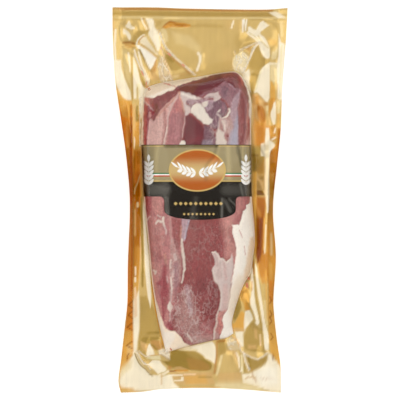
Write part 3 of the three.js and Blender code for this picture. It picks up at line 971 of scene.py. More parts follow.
    ("cream", 1, 0.7, "245,311 249.5,310 252,315 253,319 250,323 246,328 244,333 244,322"),
    ("tan", 1, 0.8, 1.7, "231,329.8 243,329.8"),
    ("cream", 1, 0.7, "235,332 243,331.4 243.4,347 240.5,345.5 238,341 236,337"),
    ("olive", 0.9, 0.9, "253,320.5 255.5,325 260,328.5 262.5,333 263.4,345 266,351 246,351 244,346 244,337 "
     "247,328"),
    ("tan", 0.8, 0.8, "254,328 257,330 257.6,340 254.6,338"),
    ("tan", 0.8, 0.9, "248,345 256,344.6 256,348.6 248,349"),
    ("peach", 0.8, 0.6, 0.9, "260,335 260.6,345"),
    # lens-shaped fold and what lies under it
    ("khaki", 1, 0.7, "246,350 252,351.5 260,352 266,351 266,353.5 262,357 257,359.5 252,358 247,354"),
    ("moss", 0.8, 0.6, 0.7, "251,351 262,351.2 266,351.8"),
    ("olive", 0.95, 0.8, "247,355 250,358 254,360 258,360.5 263,358 267.2,354.5 267.6,358 266.4,361.6 "
     "263.6,364.8 260,367.2 255,370 250.5,371 249,366 247,360"),
    ("moss", 0.8, 0.8, 1.5, "248.6,358 249.4,363 250.4,368"),
    ("lilac", 0.95, 0.5, 0.5, "241,351 247,355 252,357.5 258,359.3 263,356.5 267,353"),
    # pleat beside the tail's right corner
    ("sand", 0.7, 0.9, "226,336 232,334 236,338 240,345 243,350 236,350.4 229,349.6 227,344"),
    ("honey", 0.8, 0.5, 0.8, "233,336 237,341 240,347"),
    ("cream", 1, 0.6, 1.3, "236.4,353 238.5,358 240,366 241.5,371"),
    ("olive", 0.7, 0.4, 0.5, "240,357 240.5,370"),
    ("ivory", 0.9, 0.5, 0.7, "241.5,355 242.6,372"),
    ("moss", 0.7, 0.7, 1, "244.4,364 245,371"),
    ("lilac", 0.9, 0.5, 0.8, "243.5,353 245.5,362 248,368 249,370"),
    ("tan", 0.6, 2, "225,350 236,350 238,356 238,372 225,372"),
    ("tan", 0.7, 1.5, "218,372 241,372 242,384 218,384"),
    ("ivory", 0.6, 1.5, "215,384 238,383.4 262,388 262,391 215,388.6"),
    # lower right corner
    ("cream", 1, 1.2, "242,374 249,373.6 255,370.4 260.4,367.8 266,363.4 268,358 268,352 270.5,354 274,359 "
     "277,362 280,366 281.4,372 282.4,380 282.4,393 270,392 262,388 250,384.6 243,383"),
    ("blaze", 0.7, 3, "256,374 266,366 276,368 278,384 262,386"),
    ("pale", 0.5, 3, "215,382 243,380 258,386 258,391 225,390"),
    ("bronze", 0.5, 0.7, 0.9, "252,371 252.5,375 255,379 256,382"),
    ("tan", 0.6, 0.6, 0.9, "245.5,379 248,377 255,377.5"),
    ("bronze", 0.35, 0.9, 0.8, "261,378.4 268,379.4 282.6,381"),
    # pocket under the tail
    ("tan", 0.8, 1.5, "170,372 212,372 215,384 205,385 176,384"),
    ("honey", 0.6, 1.5, "184,376 205,375 208,383 186,384"),
    ("cream", 1, 0.7, "178,349.5 185,347 190,346.2 200,344.4 212,341.5 214,343.5 215.5,347 216,352 "
     "215.8,360 215,364 213.5,363 211,360.8 205.5,358.2 203.5,355.5 200,353 197.5,351.5 195,350.6 183,350"),
    ("pale", 0.7, 0.8, 1, "180,349.6 190,348.6 197,350.2"),
    ("bronze", 0.85, 0.8, 1.1, "216.9,342 217,356 215.4,366 214.4,373"),
    ("olive", 0.9, 1.2, "218,341 225,340 226.4,348 226,356 218.6,358"),
    ("brown", 0.6, 0.9, 1.4, "218.4,341.4 224.6,340.6"),
    ("khaki", 0.9, 1.4, "218.6,356 226,352 232,352 236,362 238,372 218,373"),
    ("pale", 0.9, 0.7, 1.2, "221.5,356 220,363 218,371 217,374"),
    ("moss", 1, 0.9, "170.5,351.5 175,350.3 178,350.2 183,351 195,351.8 198,353.5 202,356 204.5,359 208,361 "
     "211,362.5 212,366 211,369.5 206,371 200,371 180,369 172,368 168,366 165,363 161,361 170,361"),
    ("bronze", 0.5, 1.6, "186,358 196,358 205,362 210,366 209,370 190,370"),
    ("olive", 0.9, 1.2, "186,351.6 195,352 200,355 204,359 198,359.6 188,355"),
    ("tan", 0.9, 0.6, "174,367.4 180,366.6 188,369 187,369.8 176,369.6"),
    ("amber", 1, 0.5, 0.7, "175,370.6 188,370.5"),
    ("deep", 0.9, 0.5, 0.7, "169.6,371.2 175.4,371"),
    ("bronze", 0.9, 0.8, "167.6,366 171.6,366.4 171.6,369.4 168.4,369.6"),
    ("cream", 0.95, 0.6, 0.8, "170,375.3 182,375.2"),
    ("peach", 0.9, 0.6, 0.7, "184,374.4 195,374.4"),
    ("cream", 0.95, 0.6, "181,377 183.5,377 183.5,381.2 174,381.4 174,380 181,379.6"),
    ("moss", 0.6, 0.7, 0.8, "199,377.2 211,377.2"),
    ("honey", 0.7, 0.5, 0.5, "182,387.2 220,387.2"),
    # left of the tail
    ("olive", 0.85, 1.2, "140,296 146,296 152,304 156,312 159.5,325 160.6,332 162,340 152,341.5 148,346 "
     "147,352 146,356.4 142,356 138,350 138.4,340 139.6,320"),
    ("moss", 0.85, 0.7, 1, "147.6,333.4 151,332.4 159,332.6"),
    ("moss", 0.75, 0.7, "140.6,339.6 144,336.6 151,337 158,337.2 158,339 152,340.4 149.6,344 148,344.6 "
     "144,342.4 141,341"),
    ("tan", 0.9, 0.7, "140.5,341 148.5,345 147,350 146.5,352 143,350 141,346"),
    ("bronze", 0.8, 0.7, "150.4,341 154,340 160,341 163.6,344 163,348 158,350.6 154.6,350.4 152,347"),
    ("moss", 0.9, 0.6, 1, "150.3,344.6 153,345.4 155,347.8 157,349.6"),
    ("honey", 0.95, 0.6, 0.9, "160.5,331 162,340 163,344"),
    ("cream", 1, 0.6, "148.5,345 149.8,343.5 151,346 153,349 154,352 154.5,355 150,355.5 147,356 146.5,354 "
     "147,349"),
    ("ivory", 0.85, 0.8, "147,356 155,355.2 160,355.6 161,359.6 152,359.4 147,358.4"),
    ("lilac", 0.8, 0.9, "158,350.6 163,348.6 169.6,350 169.6,359.6 165,356.6 160,354"),
    ("tan", 0.9, 0.5, 0.6, "146,357 150,355.6 155,355 160,354.6 165,357"),
    ("olive", 0.9, 0.6, 0.8, "161,354.8 165,357 169.5,360"),
    # fold lines of the lower left corner, and the panel under them
    ("olive", 0.7, 0.8, "135.6,350.6 138,351 143,355 146,358.6 147,362 149,364.4 144,364.6 141,361 138,357"),
    ("khaki", 0.9, 0.8, "139,361 143,365 149,366 152,369 155,373 152,376 146,369.6 141,366"),
    ("lilac", 0.85, 0.5, 0.7, "137.5,352.5 141,360 144,364 149,364.5 153,360.6"),
    ("lilac", 0.8, 0.5, 0.6, "139,351 142,354 146,356.5 150,356"),
    ("cream", 1, 0.7, "149,364 152,361 155,360 160,360.5 162,364 166,368 166.5,370 164,372 161,372.5 "
     "158,374 150,366"),
    ("cream", 0.8, 0.8, 1.2, "159,375.4 164,374 168,371.4"),
    # lower left corner and flange
    ("saffron", 1, 1, "117,100 124.5,101 131.4,102.4 132.6,108 132.8,300 133,350 132,356 124,360 118,362 "
     "122,345 126,325 127.5,300 127.5,270 129,240 129.6,200 127,170 122,130"),
    ("cream", 1, 1.2, "134.3,293 139,290.5 139.7,310 139.3,330 137.7,340 136.6,351 137,355 139,361 "
     "143,366.3 149,371.4 151.5,374.8 157,375.4 161,377 169,374.4 172,376 174,383 180,388 160,390 135,390.6 "
     "120,388 119,375 120,364 126,361 132,357 133.3,350 133.3,300"),
    ("honey", 0.9, 2.2, "123,330 132.6,330 132.6,354 128,364 118,374 118.6,360 121,350"),
    ("pale", 0.3, 1.2, "127,345 132.4,345 132.4,354 127,356"),
    ("pale", 0.7, 2, "121,368 126,364 133,360 131,368 125,373 120,378"),
    ("amber", 0.8, 0.9, 1.2, "122,350 119.4,368"),
    ("honey", 0.7, 1.2, 1.2, "119.6,368 118.8,379"),
    ("amber", 0.8, 0.9, 1.2, "119.4,387 120.4,391 128,390.8 137,391.2"),
    ("honey", 0.6, 1.6, "118,384 121,386.4 134,388.8 134,392 118,392"),
    ("moss", 0.9, 0.6, 0.7, "135,353 136.5,358 139,363 142,366.5 146,369.5 150,374 152.5,376"),
    ("tan", 0.6, 0.7, 0.9, "161.6,374.6 161.5,384"),
    # left flange at the waist: stripes along it
    ("honey", 0.9, 1.2, "118.6,98 124,99 132,101 131,112 129,118 123,117 120,108"),
    ("ember", 0.7, 8, "124,166 133,166 133,194 128,194"),
    ("honey", 0.6, 0.8, 1, "127,123 127.6,135 128,148"),
    ("rust", 0.3, 0.7, 0.9, "121,112 124.4,138 126,152"),
    ("rust", 0.9, 0.7, 1.2, "131,106 131,120"),
    ("brown", 1, 0.9, 1.4, "131,118 131.2,146"),
    ("deep", 0.6, 1, 1.2, "131.4,126 131.6,150"),
    ("amber", 0.5, 1, "126,112 130,112 130.4,128 127.4,128"),
    ("rust", 0.6, 1, "127,126 130.4,126 130.6,144 128.4,144"),
    ("ember", 0.9, 0.9, 1.4, "131.2,149 131.2,160 131.8,180 132,202"),
    ("brown", 0.25, 2, "122,122 126.6,120 127.8,160 124.4,160"),
    ("ember", 0.7, 0.9, 1, "132,202 132.2,236 132,290"),
    ("honey", 0.4, 0.8, 0.8, "130.6,206 130.6,240 129.6,296"),
    ("amber", 0.3, 1.4, "127.4,304 131,304 131,328 126,328"),
    # left wall at the waist
    ("honey", 1, 1, "133.4,112 140,112 140.6,150 141.2,200 141.6,250 139.4,285 137,296 133.3,300 133.3,110"),
    ("moss", 0.95, 0.9, "135.6,106 138,105 139,121 137.4,122 134.4,121 134.4,116"),
    ("saffron", 1, 2.5, "133.6,150 141,150 141.4,205 134,205"),
    ("ember", 0.6, 3, "134,172 141,172 141,196 134,196"),
    ("rust", 1, 2, "134,206 141.4,206 140.6,248 134,248"),
    ("amber", 1, 2, "134,246 140.8,246 139.8,266 138.4,278 134,278"),
    ("rust", 0.5, 0.8, 1, "134.6,151 134.8,168"),
    ("brown", 0.6, 0.9, 1.1, "134,158 134.2,196"),
    ("brown", 0.8, 0.9, "134,183 139.8,183 139.4,203 134,207"),
    ("umber", 0.3, 0.9, "137,151 141,151 141,164 137,164"),
    ("brown", 0.45, 1.5, "135.5,207 140.6,206 140.6,232 137,240 137,262 135.5,262"),
    ("brown", 0.6, 0.8, 1, "134.4,236 134.2,276"),
    ("tan", 0.9, 1, "133.4,104 135.6,104 135.8,130 133.4,130"),
    ("honey", 0.8, 0.6, 0.6, "141.2,150 141.3,180 141.6,197"),
    ("tan", 0.9, 0.5, 0.7, "139.8,176 138,182 135.5,188 134.5,193.5"),
    ("cream", 1, 0.6, "134,136.6 134.8,137.6 135.4,141 135,146 134.4,149.4 134,146"),
    ("pale", 0.95, 0.6, 1, "137.7,203 137.8,206.6"),
    ("tan", 0.6, 0.7, 1, "135,210 135.2,235"),
    ("cream", 0.75, 0.5, 0.8, "135.6,267 135.6,274.6"),
    ("cream", 0.95, 0.5, 0.9, "135.4,277.4 135.4,281.6"),
    ("peach", 0.9, 0.7, "134.2,288 136,286 137,294 137.4,316 134,318"),
    ("cream", 0.35, 0.6, 0.45, "140.5,237 140.5,258 139.6,272 139,285 138,295"),
    ("moss", 1, 0.7, 0.9, "141.3,198 141.4,210 141.8,220 142.3,240 142.7,250 142.8,260 142.8,276"),
    ("moss", 0.9, 0.7, 1.1, "142.6,270 142.6,286"),
    ("cream", 1, 0.6, "143.2,200 145.2,208 146,220 147,238 148.4,250 149.6,262 151.2,296 151,305 150.4,308 "
     "149.4,303 148,297 146.4,285 145.2,270 144.6,255 144,236 143,215"),
    ("amber", 0.9, 0.5, 0.7, "151.8,276 152.6,290 154,302 157,316 160.4,330"),
)

# Thin chevrons pressed into both side flanges, painted as lines of shade: the point of each, and how far
# its arms reach inward
ARM_UP, ARM_DOWN = 4, 3  # how far up and down the arms reach
CHEVRONS = (
    (128.6, 305, 4), (128.4, 315, 4), (127.2, 327, 5), (126.4, 345.4, 6), (126, 357.4, 3),
    (271.4, 300.4, -2), (271.8, 314.2, -2), (271.8, 321, -2.2), (273, 337, -2.4), (274.4, 357, -2.6),
)
for x, y, reach in CHEVRONS:
    arms = f"{x + reach},{y - ARM_UP} {x},{y} {x + reach},{y + ARM_DOWN}"
    PAINT += (("deep", 0.7, 0.5, 0.6, arms),)


def painted(strokes, tones, ground, x, y):
    """Lays tones on, one over the other. Returns the four numbers of the tone at each point."""
    result = np.tile(tones[ground], (len(x), 1))
    for name, share, soft, *half, text in strokes:
        cover = share * covered(x, y, text, soft, *half)[:, None]
        result += (tones[name] - result) * cover
    return result


def shaken(amount, x, y):
    """The same places, each moved a little, so that borders laid out straight turn ragged."""
    sideways = waves(x, y, (0.7, 7, 31), (0.45, 3, 32))
    lengthways = waves(x, y, (0.9, 8, 33), (0.45, 3, 34))
    return x + amount * sideways, y + amount * lengthways


GOLD_SHAKE = 0.2  # the gold's borders are nearly clean, the meat's are ragged
x, y = corners[:, 0], corners[:, 1]
mark_colour(gold, "tone", painted(PAINT, TONES, "khaki", *shaken(GOLD_SHAKE, x, y)))
print(len(PAINT), "areas and lines of tone")

# %% Gold material
material, tree = new_material("gold_foil")
place = add(tree, "TexCoord").outputs["Object"]
own = add(tree, "Attribute", attribute_name="tone")
streaks = times(noise(place, 0.35, 3, (1, 0.1, 1)), 0.22)
cloud = times(noise(place, 0.07, 3), 0.25)
colour = shaded(own.outputs["Color"], plus(1, plus(streaks, cloud)))
rough = plus(0.24, times(noise(place, 0.9, 2), 0.12))
crinkle = noise(place, 0.06, 2, (1, 0.6, 1))
bump = add(tree, "Bump", {"Height": crinkle, "Strength": 0.25, "Distance": 0.6 * MM})
shader = add(tree, "BsdfPrincipled", {
    "Base Color": colour, "Metallic": own.outputs["Alpha"], "Roughness": rough, "Normal": bump.outputs[0],
    "Specular IOR Level": 0,
})
dress(gold.data, material, shader)

# %% [markdown]
# ## The breast
#
# A boned goose breast shows several muscles side by side, each with its own red. White sinew,
# pinkish membrane and cream fat run between and over them. They are laid on like the gold's tones,
# from the large muscles to the thin seams, and the borders are shaken a little, because meat has
# no straight line. Here the fourth number of a tone is how far that tissue stands out, in mm.

# %% Tissues
SHEEN, UNDER_FILM = 0.022, 0.9  # what the film over it mirrors, and the light that it lets through


def tissue(red, green, blue, rise=0.0):
    """The base colour that looks like the given one under the film, and how far the tissue rises."""
    return np.array([max(0.0, c - SHEEN) / UNDER_FILM for c in srgb(red, green, blue)[:3]] + [rise])


TISSUES = {
    "flesh": tissue(141, 76, 76),
    "rosy": tissue(177, 119, 119),
    "ruddy": tissue(164, 105, 104),
    "rose": tissue(193, 138, 132),
    "salmon": tissue(203, 163, 157, 0.05),
    "coral": tissue(198, 116, 108),
    "crimson": tissue(150, 68, 76, -0.1),
    "blood": tissue(124, 38, 46, -0.15),
    "scarlet": tissue(200, 74, 58),
    "wine": tissue(111, 55, 61),
    "umber": tissue(122, 74, 60),
    "maroon": tissue(138, 83, 83),
    "brick": tissue(156, 86, 76),
    "mauve": tissue(150, 108, 116),
    "plum": tissue(124, 92, 102, -0.1),
    # lilac and slate are no tissues of their own: they are painted reflections, the film's bluish gloss
    "lilac": tissue(180, 154, 162, 0.1),
    "slate": tissue(172, 168, 184, 0.1),
    "tan": tissue(202, 154, 134),
    "veil": tissue(180, 143, 138, 0.15),
    "membrane": tissue(206, 188, 184, 0.25),
    "white": tissue(224, 213, 202, 0.4),
    "fat": tissue(240, 231, 222, 0.5),
    "skin": tissue(238, 218, 196, 0.4),
    "rind": tissue(226, 198, 166, 0.3),
}

# Each one: tissue, share, softness of its border, half width if it is a line, places
FLESH = (
    # left muscle below the band
    ("rosy", 1, 1.2, "144,194 164,194 164,212 171,216 181,219 181.4,240 182,258 181,281 176,300 172,322 "
     "168,330 160,318 153,290 147,240 145,210"),
    ("rose", 0.75, 1.2, "152.5,194 162.5,194 163,211 160,214.5 155,212 152,207"),
    ("rose", 0.5, 2, "153,216 163,220 165,240 161,255 155,250 152,232"),
    ("crimson", 0.55, 1, "146,194 151.5,196 152,207 150,216 146.5,216"),
    ("blood", 0.9, 0.6, 0.7, "146.6,196 147.2,204 146,208 147.3,211.5"),
    ("flesh", 0.5, 1.2, 1.2, "147.5,218 149,240 151,262"),
    ("flesh", 0.5, 1.5, 1.6, "157,236 158.5,248 161,258"),
    ("flesh", 0.7, 1.2, "171.4,217 180.6,220 181,232 180.6,245 178,252 175,245 172.4,232"),
    ("rose", 0.6, 1, "152,262 161,262 161.5,275 159,279.5 155,283 158,290 160,301 157,300 153,285"),
    ("tan", 0.5, 1.4, 1.2, "164.5,254 166.5,263"),
    ("crimson", 0.75, 1.8, "163,264 166.4,266 166.6,274 166,279 169.4,286 168.4,300 165.6,312 164,323 "
     "162,318 161.6,305 160.4,293 162,286 156.4,283.6 160.4,280 162.6,274"),
    ("ruddy", 0.6, 1.4, "164,296 168,296 167,308 164.6,316 163.6,306"),
    ("rose", 0.6, 0.8, "160,298 162,306 162.6,315 160.6,314 158.4,305"),
    ("rose", 0.6, 0.8, "164.8,314 168.4,312 169.6,318 167,323 165,321"),
    ("crimson", 0.7, 1.4, "167.6,320.4 170.6,319.4 173.6,323 173,329 168.8,329.6 166.2,326"),
    # central muscle
    ("rose", 0.8, 5, "220,214 236,212 235,222 232,224.5 231,232 233,240 236,250 235.5,262 231,261 229,258 "
     "226.4,261 224,257 225,245 223,232"),
    ("rose", 0.7, 1.5, "225,205 233,212 234,222 231,229 225,226"),
    ("rosy", 0.6, 1.2, "235,196 249,196 249.6,203 245.8,205 245.4,208 242,211.5 240.4,221 238.4,224.6 "
     "233,223.8 231,216 235,208"),
    ("rose", 0.5, 1.2, "236,197 243,197 244,204 241,213 237,216 235.6,208"),
    ("crimson", 0.35, 1.5, 1.4, "221.4,236 222,247 221.4,256"),
    ("wine", 0.3, 4, "186,288 200,275 213,272 217,283 220,295 219,305 215,315 205,318 206,300 200,295 "
     "190,294"),
    ("rosy", 0.55, 2, "202,321 213.4,320 213,330 211.6,340 201,342 199.6,332"),
    ("flesh", 0.4, 1.2, 2, "189,222 186.4,240 187,262"),
    ("crimson", 0.3, 2, 3, "193,262 197,268"),
    ("maroon", 0.7, 1, "177.2,284 180.4,281 181.4,286 181,292 179.4,300 176,307 175,299 176.6,290"),
    ("wine", 0.5, 1, 1.4, "172.6,313 175,317"),
    # membrane, and the seam between it and the fat
    ("rose", 0.8, 1, 1.6, "232.6,244 235,252 235.4,260 233.4,272 231.4,285"),
    ("membrane", 0.95, 0.6, "211.5,251 215.6,251.2 218.6,254.6 219.6,258 222.4,258.2 226.6,262 229.8,259 "
     "231.2,252 233,257 233.4,266 231.4,276 230,286 229.5,297 228.4,305 225,312 221.6,312 219.4,309 221,301 "
     "221,293 219,285 215,280 213.4,275 211.6,271 212.6,267 215.2,264 213.8,258"),
    ("veil", 0.3, 1, "217,262 221,262 222,276 219,280 215.6,274 217.6,268"),
    ("veil", 0.5, 1, 1, "214.4,253 216.4,259 216.6,265"),
    ("salmon", 0.5, 1.6, "223,284 227.6,283 228.4,300 226.6,311 221,312 222.6,300"),
    ("rose", 0.4, 1.2, 1.2, "224,262 225,270 226,279"),
    ("rose", 1, 1.2, "217,313 221,310.6 226,309.4 224.6,313.6 223,320 223.6,327 221.6,333.4 218.4,335 "
     "215,331 216.4,322"),
    ("coral", 0.5, 1.4, 1.6, "219.4,318 220.6,326 220,332"),
    ("ruddy", 0.5, 1.4, 1.4, "217.6,322 217.6,331"),
    ("veil", 0.9, 1, "214.4,329 218,333.4 219.6,339.6 213,340.4"),
    ("white", 0.9, 0.5, 0.6, "211.8,251.8 215.4,251.8 218.2,255 219.7,258.6 222.3,258.7 226.5,262.2 "
     "229.4,259.8"),
    ("white", 0.6, 0.6, 0.8, "213,272 214.6,279.4 218.6,284.8 220.6,291 221.2,299 219.6,307 216.6,316 "
     "216.8,322 214.8,328 213.8,339"),
    # sinews of the left muscle
    ("veil", 0.7, 0.8, 0.9, "169.8,214 170.5,222 171,232 171.6,240"),
    ("veil", 0.7, 1.4, "170.6,236 173,240 175,247 178,253 181,258 181,268 180.4,280 177,284 174.4,290 "
     "174.4,300 172,304 169.4,303 169.8,290 169.8,275 169.6,262 170.8,252"),
    ("mauve", 0.6, 1.2, 2.2, "176,264 176.6,280 175,292"),
    ("membrane", 0.6, 0.8, 1.3, "174.6,254 175.6,259"),
    ("membrane", 0.5, 0.8, 1.1, "174,270 173,276"),
    ("white", 0.6, 0.6, 0.7, "170.8,260 170.6,268"),
    ("white", 0.85, 0.6, 0.9, "171,277 171.8,285 171.9,293"),
    ("membrane", 0.7, 0.6, 0.9, "171.9,293 170.8,301"),
    ("white", 1, 0.5, "168.4,302.6 170,301 172.4,305 173.6,305 170.5,312.6 168.6,309.6 167.2,307.6"),
    ("membrane", 0.6, 0.6, 0.7, "170.3,312 170.3,318 169.4,321"),
    ("membrane", 0.5, 0.6, 0.7, "166.8,276.6 168,282"),
    ("white", 0.8, 0.6, 0.9, "156.6,223 158.4,220.6 161.4,222"),
    ("white", 0.85, 0.6, 1, "163.6,217.4 162.8,221.6 164.6,225.6"),
    ("membrane", 0.8, 0.6, 0.7, "164.4,225 166.2,229.6 166.4,234"),
    ("white", 0.7, 0.6, 0.6, "157.4,214.8 160.8,217"),
    ("white", 0.6, 0.5, 0.5, "147.2,220.6 148.8,218 151,216.6"),
    ("white", 0.7, 0.7, 1, "153.6,270 156,271 155.4,273.6"),
    # the broad seam below the band
    ("lilac", 0.85, 0.8, "181.6,216 190.4,216 188.8,225 186.8,230 185.4,236 185,240.6 181.6,241 181.2,235 "
     "182,228"),
    ("slate", 0.6, 0.7, 0.8, "189,220 186.6,229 184.8,238"),
    ("tan", 0.6, 0.9, 0.8, "181.4,226 180.6,238"),
    ("white", 0.8, 0.7, 1.3, "182.2,240 182.4,247 183.4,254 184.3,262 184.4,270"),
    ("white", 0.8, 0.6, 0.9, "184.4,270 182,282"),
    # veil over the tail
    ("veil", 0.6, 5, "179,304 183,293 190,287 193,298 196,310 200,322 202,335 201,342 190,343 184,336 "
     "178,330 175,325 176,316"),
    ("veil", 0.6, 1.5, "184,338 200,335 213,334 213,343 196,347 188,345"),
    ("ruddy", 0.5, 3, "171,290 179,286 181,296 178,308 173,318 170,312"),
    ("lilac", 0.45, 1.5, 2.2, "187,287 189,300 191,312"),
    ("white", 0.6, 0.8, 0.9, "187.4,333.6 189.4,337.4 192,341"),
    ("crimson", 0.5, 1, 0.9, "183.6,281 184.2,284"),
    ("crimson", 0.4, 1.2, 1.2, "200,323 201.6,329"),
    ("crimson", 0.4, 1.2, 1.2, "179,327 182,333"),
    ("crimson", 0.45, 1.2, 1.5, "186,340 192,343.6"),
    # fat on the right
    ("fat", 1, 0.5, "249.4,190 249.6,203 246,205 245.8,208 242.6,211.6 240.6,221 238.4,225 234,224.4 "
     "231.8,224 233,227 232.3,232.6 234,239 236,246 236.2,254 235,262 233,272 231,285 230,297 228.6,305 "
     "227,310 224,314 222.4,320 223.6,327 221.4,333 219.4,336 219.6,341 240,341 262,290 262,190"),
    ("rose", 0.75, 0.4, 0.45, "239,230 240.4,232.6 242,237.6"),
    ("rose", 0.75, 0.4, 0.45, "243.8,245.8 244.8,250 245,254.6"),
    ("rind", 0.8, 1.6, "250,238 254,236 258,236 258,262 252,280 244,286 243.6,274 246.6,260 248.4,248"),
    ("skin", 0.6, 3, "230,290 238,274 244,276 246,290 240,300 234,325 228,310"),
    # skin at the left of the tail
    ("skin", 1, 0.6, "146,280 153.6,291 160,312 163.4,322 166,327.6 169,330.4 174.6,330.6 178,333.4 181,337 "
     "184,342 190,345.4 196,346 180,358 158,358 146,330"),
    ("fat", 0.6, 2, "160,318 165,331 176,332 174,340 168,349 164,346 163,335"),
    ("rose", 0.4, 0.8, 0.6, "154,292 160.4,313 165,326 169.4,330"),
    ("brick", 0.5, 0.6, 0.6, "190,345.6 201,343 213,340.6"),
    # muscles above the band, on the left
    ("salmon", 1, 0.8, "178,93 180,93 182,99 184,106 185.3,117 184.5,124 181.6,140 180,150 146,150 "
     "147.3,138 148.3,130 149.6,121 151,118.8 152.5,120.5 154.5,121 157,116.5 161,111 166,105.5 171,100.5 "
     "176.5,96.3"),
    ("rosy", 1, 0.9, "178.6,97 181.4,100 183.6,107 184.6,114 184.8,120 183.6,128 181.6,138 180,150 165,150 "
     "167,138 168.4,128 168.4,120 170.4,113 174,106"),
    ("mauve", 0.35, 1.5, "172,114 184,112 183.6,128 181,148 168,148 169,126"),
    ("maroon", 0.55, 1.4, 1.9, "183,110 183.6,122 181.8,139"),
    ("coral", 0.25, 2.4, "176.6,101 181,100 183,108 182,115 176,112 174.4,107"),
    ("tan", 0.65, 0.7, "157,116.5 163,109.5 170,102.5 176,97 174.4,101 168,107 162,113.4 156.4,119.6"),
    ("rosy", 0.4, 1, 0.9, "160,113 166,108 171,103.6"),
    ("tan", 0.7, 0.8, 1, "179.2,93 180.2,98 183,106 184,112"),
    ("ruddy", 0.7, 1.2, 1.6, "165,111 165.6,130 163,146"),
    ("maroon", 1, 0.6, "153.5,98.8 170,91.8 174.5,90.3 175.6,88.6 177.8,92.5 176.5,96 170.5,100 165,105.5 "
     "161,110 157.5,115 155.5,120 153.5,121.2 151.6,118.5 153.8,115 155,112 153.8,107"),
    ("umber", 0.75, 1.2, "154.6,104 158,105 159,110 156.4,115 155,112"),
    ("brick", 0.9, 0.6, "148.6,98.4 153.3,98.8 153.7,107.6 151,105 149.6,101"),
    ("coral", 0.9, 0.6, "143.2,97.3 147,97.2 149.4,98.8 150,104 152.4,108.6 149,106 145.4,103 143.2,101"),
    ("crimson", 1, 0.6, "143.6,103 147,105 154.4,112.4 153.6,115.6 151,113.5 149,113 148,116 149.3,119 "
     "149,123 147.8,130 147,138 146.2,150 143.8,150 143.6,130 143.6,115"),
    ("coral", 0.35, 1.2, "143.6,104 147,104 147.4,112 146.6,138 144,138"),
    ("coral", 0.5, 0.8, 1, "144,112 144.4,128 144.6,146"),
    ("blood", 0.9, 0.6, 1, "147.8,114 149.6,111.4 151.6,111 154,112.8"),
    ("crimson", 0.6, 0.8, 1.3, "150.4,108 151.4,115"),
    ("blood", 0.8, 0.7, 0.8, "147.6,116 148.4,120 147.4,126"),
    ("blood", 0.6, 0.6, 0.6, "145.6,137 145.5,147"),
    ("rose", 0.9, 0.6, 1.1, "150.2,113.4 150.4,116.8"),
    ("membrane", 0.75, 0.5, 0.5, "143.8,100.6 147.5,104 153.3,110.9"),
    ("membrane", 0.7, 0.5, 0.35, "177.5,98 172.5,105 170,111 168,118 167.5,124 167.8,127"),
    ("white", 0.75, 0.5, 0.4, "167.8,127 166.5,133 165,139 164,147"),
    ("membrane", 0.7, 0.5, 0.4, "185,118 184.6,124 183,131 182,137.5"),
    # the large dark muscle above the band, and the bluish part beside it
    ("wine", 1, 0.9, "185.4,119 187,117 190,115 192.6,117.6 200.5,124.5 203,127.5 204.5,131 206,137 204,150 "
     "184,150 184.4,140 184,132 185.5,124"),
    ("crimson", 0.3, 2, 2.4, "190,142 198,139"),
    ("plum", 0.95, 1.2, "204,126 210,127.4 214,133 215.6,140 215.4,150 201,150 204,140"),
    ("slate", 0.3, 1.5, "203,141 212,140 214,150 200,150"),
    ("plum", 1, 1, "204,108 208,103.5 216,101.5 220,100.4 225,103.5 227.4,108 227,113 223,117.6 222,124 "
     "216,130 209,127 206,113"),
    ("lilac", 0.7, 0.9, "205,108.5 208,104.5 213,103.5 213.6,107 211,110.5 207,112"),
    ("mauve", 0.5, 1, 1.8, "223.6,106 223.6,113"),
    # top edge
    ("wine", 1, 0.6, "176.8,87 183,84 190,81.5 222,73.5 232,70 238,72 240,78 240,89 235,89 233,87 228,84 "
     "225,81.5 221,85 216,88 203,93.5 200,97 196,96 192,95.5 186,93 181.5,92"),
    ("umber", 0.75, 1.6, "178,87.2 190,84 214,77 216,78 210,81.4 203,84.5 197,88 192.6,94.4 185,92 181,91"),
    ("maroon", 0.6, 1, 0.9, "184,84.6 194,82 204,79 213,76.6"),
    ("brick", 0.5, 0.7, 0.7, "184,85.4 193,83.6 202,80.6"),
    ("flesh", 0.65, 1, "221.6,75 229,71 235,73 236,79 231,83.4 226,81 222.6,78.4"),
    ("maroon", 0.8, 0.8, "233.5,80 237,77 239,80 239,88.4 235,88.6 234,85"),
    ("crimson", 0.9, 0.6, 0.8, "236,74.5 238,78 239.4,83 239.6,88"),
    ("mauve", 1, 0.8, "215,88.6 221,85 225,81.6 229,84.4 234,88.5 240.4,89.4 238,92 235,96 231.5,102 "
     "230,110 228,105 225,101.5 222,99.5 221,97.5 219,94.5 218,92 211,93.5 205,96 201,98.4 199.6,96.4 "
     "204,93.5 210,91"),
    ("plum", 0.8, 1.6, "223,87 227,88 228,95 226,101 222.6,98 221,93"),
    ("wine", 0.4, 1.2, 1.2, "200,96.6 213,91"),
    ("lilac", 0.55, 0.7, 0.7, "229,85 232.5,87 235,90"),
    # strip beside the right muscle
    ("lilac", 0.9, 1.2, "240.2,90 240,94 239,101 238,106 237.3,115 237,125 236.8,150 226.4,150 229.4,135 "
     "229,128 230,121 229.6,114 230.3,108 231.5,102 235,95.5"),
    ("slate", 0.9, 3, "238.6,112 238.6,128 238,152 228,152 230,138 233,128"),
    ("veil", 0.6, 1.3, "226,117 230.6,118 232,124 229,130 226,134 225,126"),
    # right muscle
    ("maroon", 1, 0.7, "242.4,86 245,89.4 248.4,95 249.6,102 249.6,110 248.8,118 248,128 247,136 244.4,150 "
     "238.6,150 238,125 237.8,112 238.8,104 240.2,95 241.5,88"),
    ("flesh", 0.5, 1.2, 1.4, "243.6,90 244,104 243,120"),
    ("ruddy", 0.6, 1.4, 1.4, "242,121 241.6,135"),
    ("rose", 0.5, 1.2, 1.4, "247.4,118 247.4,128 245.5,137 243,146"),
    ("crimson", 0.9, 0.6, 0.8, "248.4,115.6 248,122 249.4,128 249.4,133"),
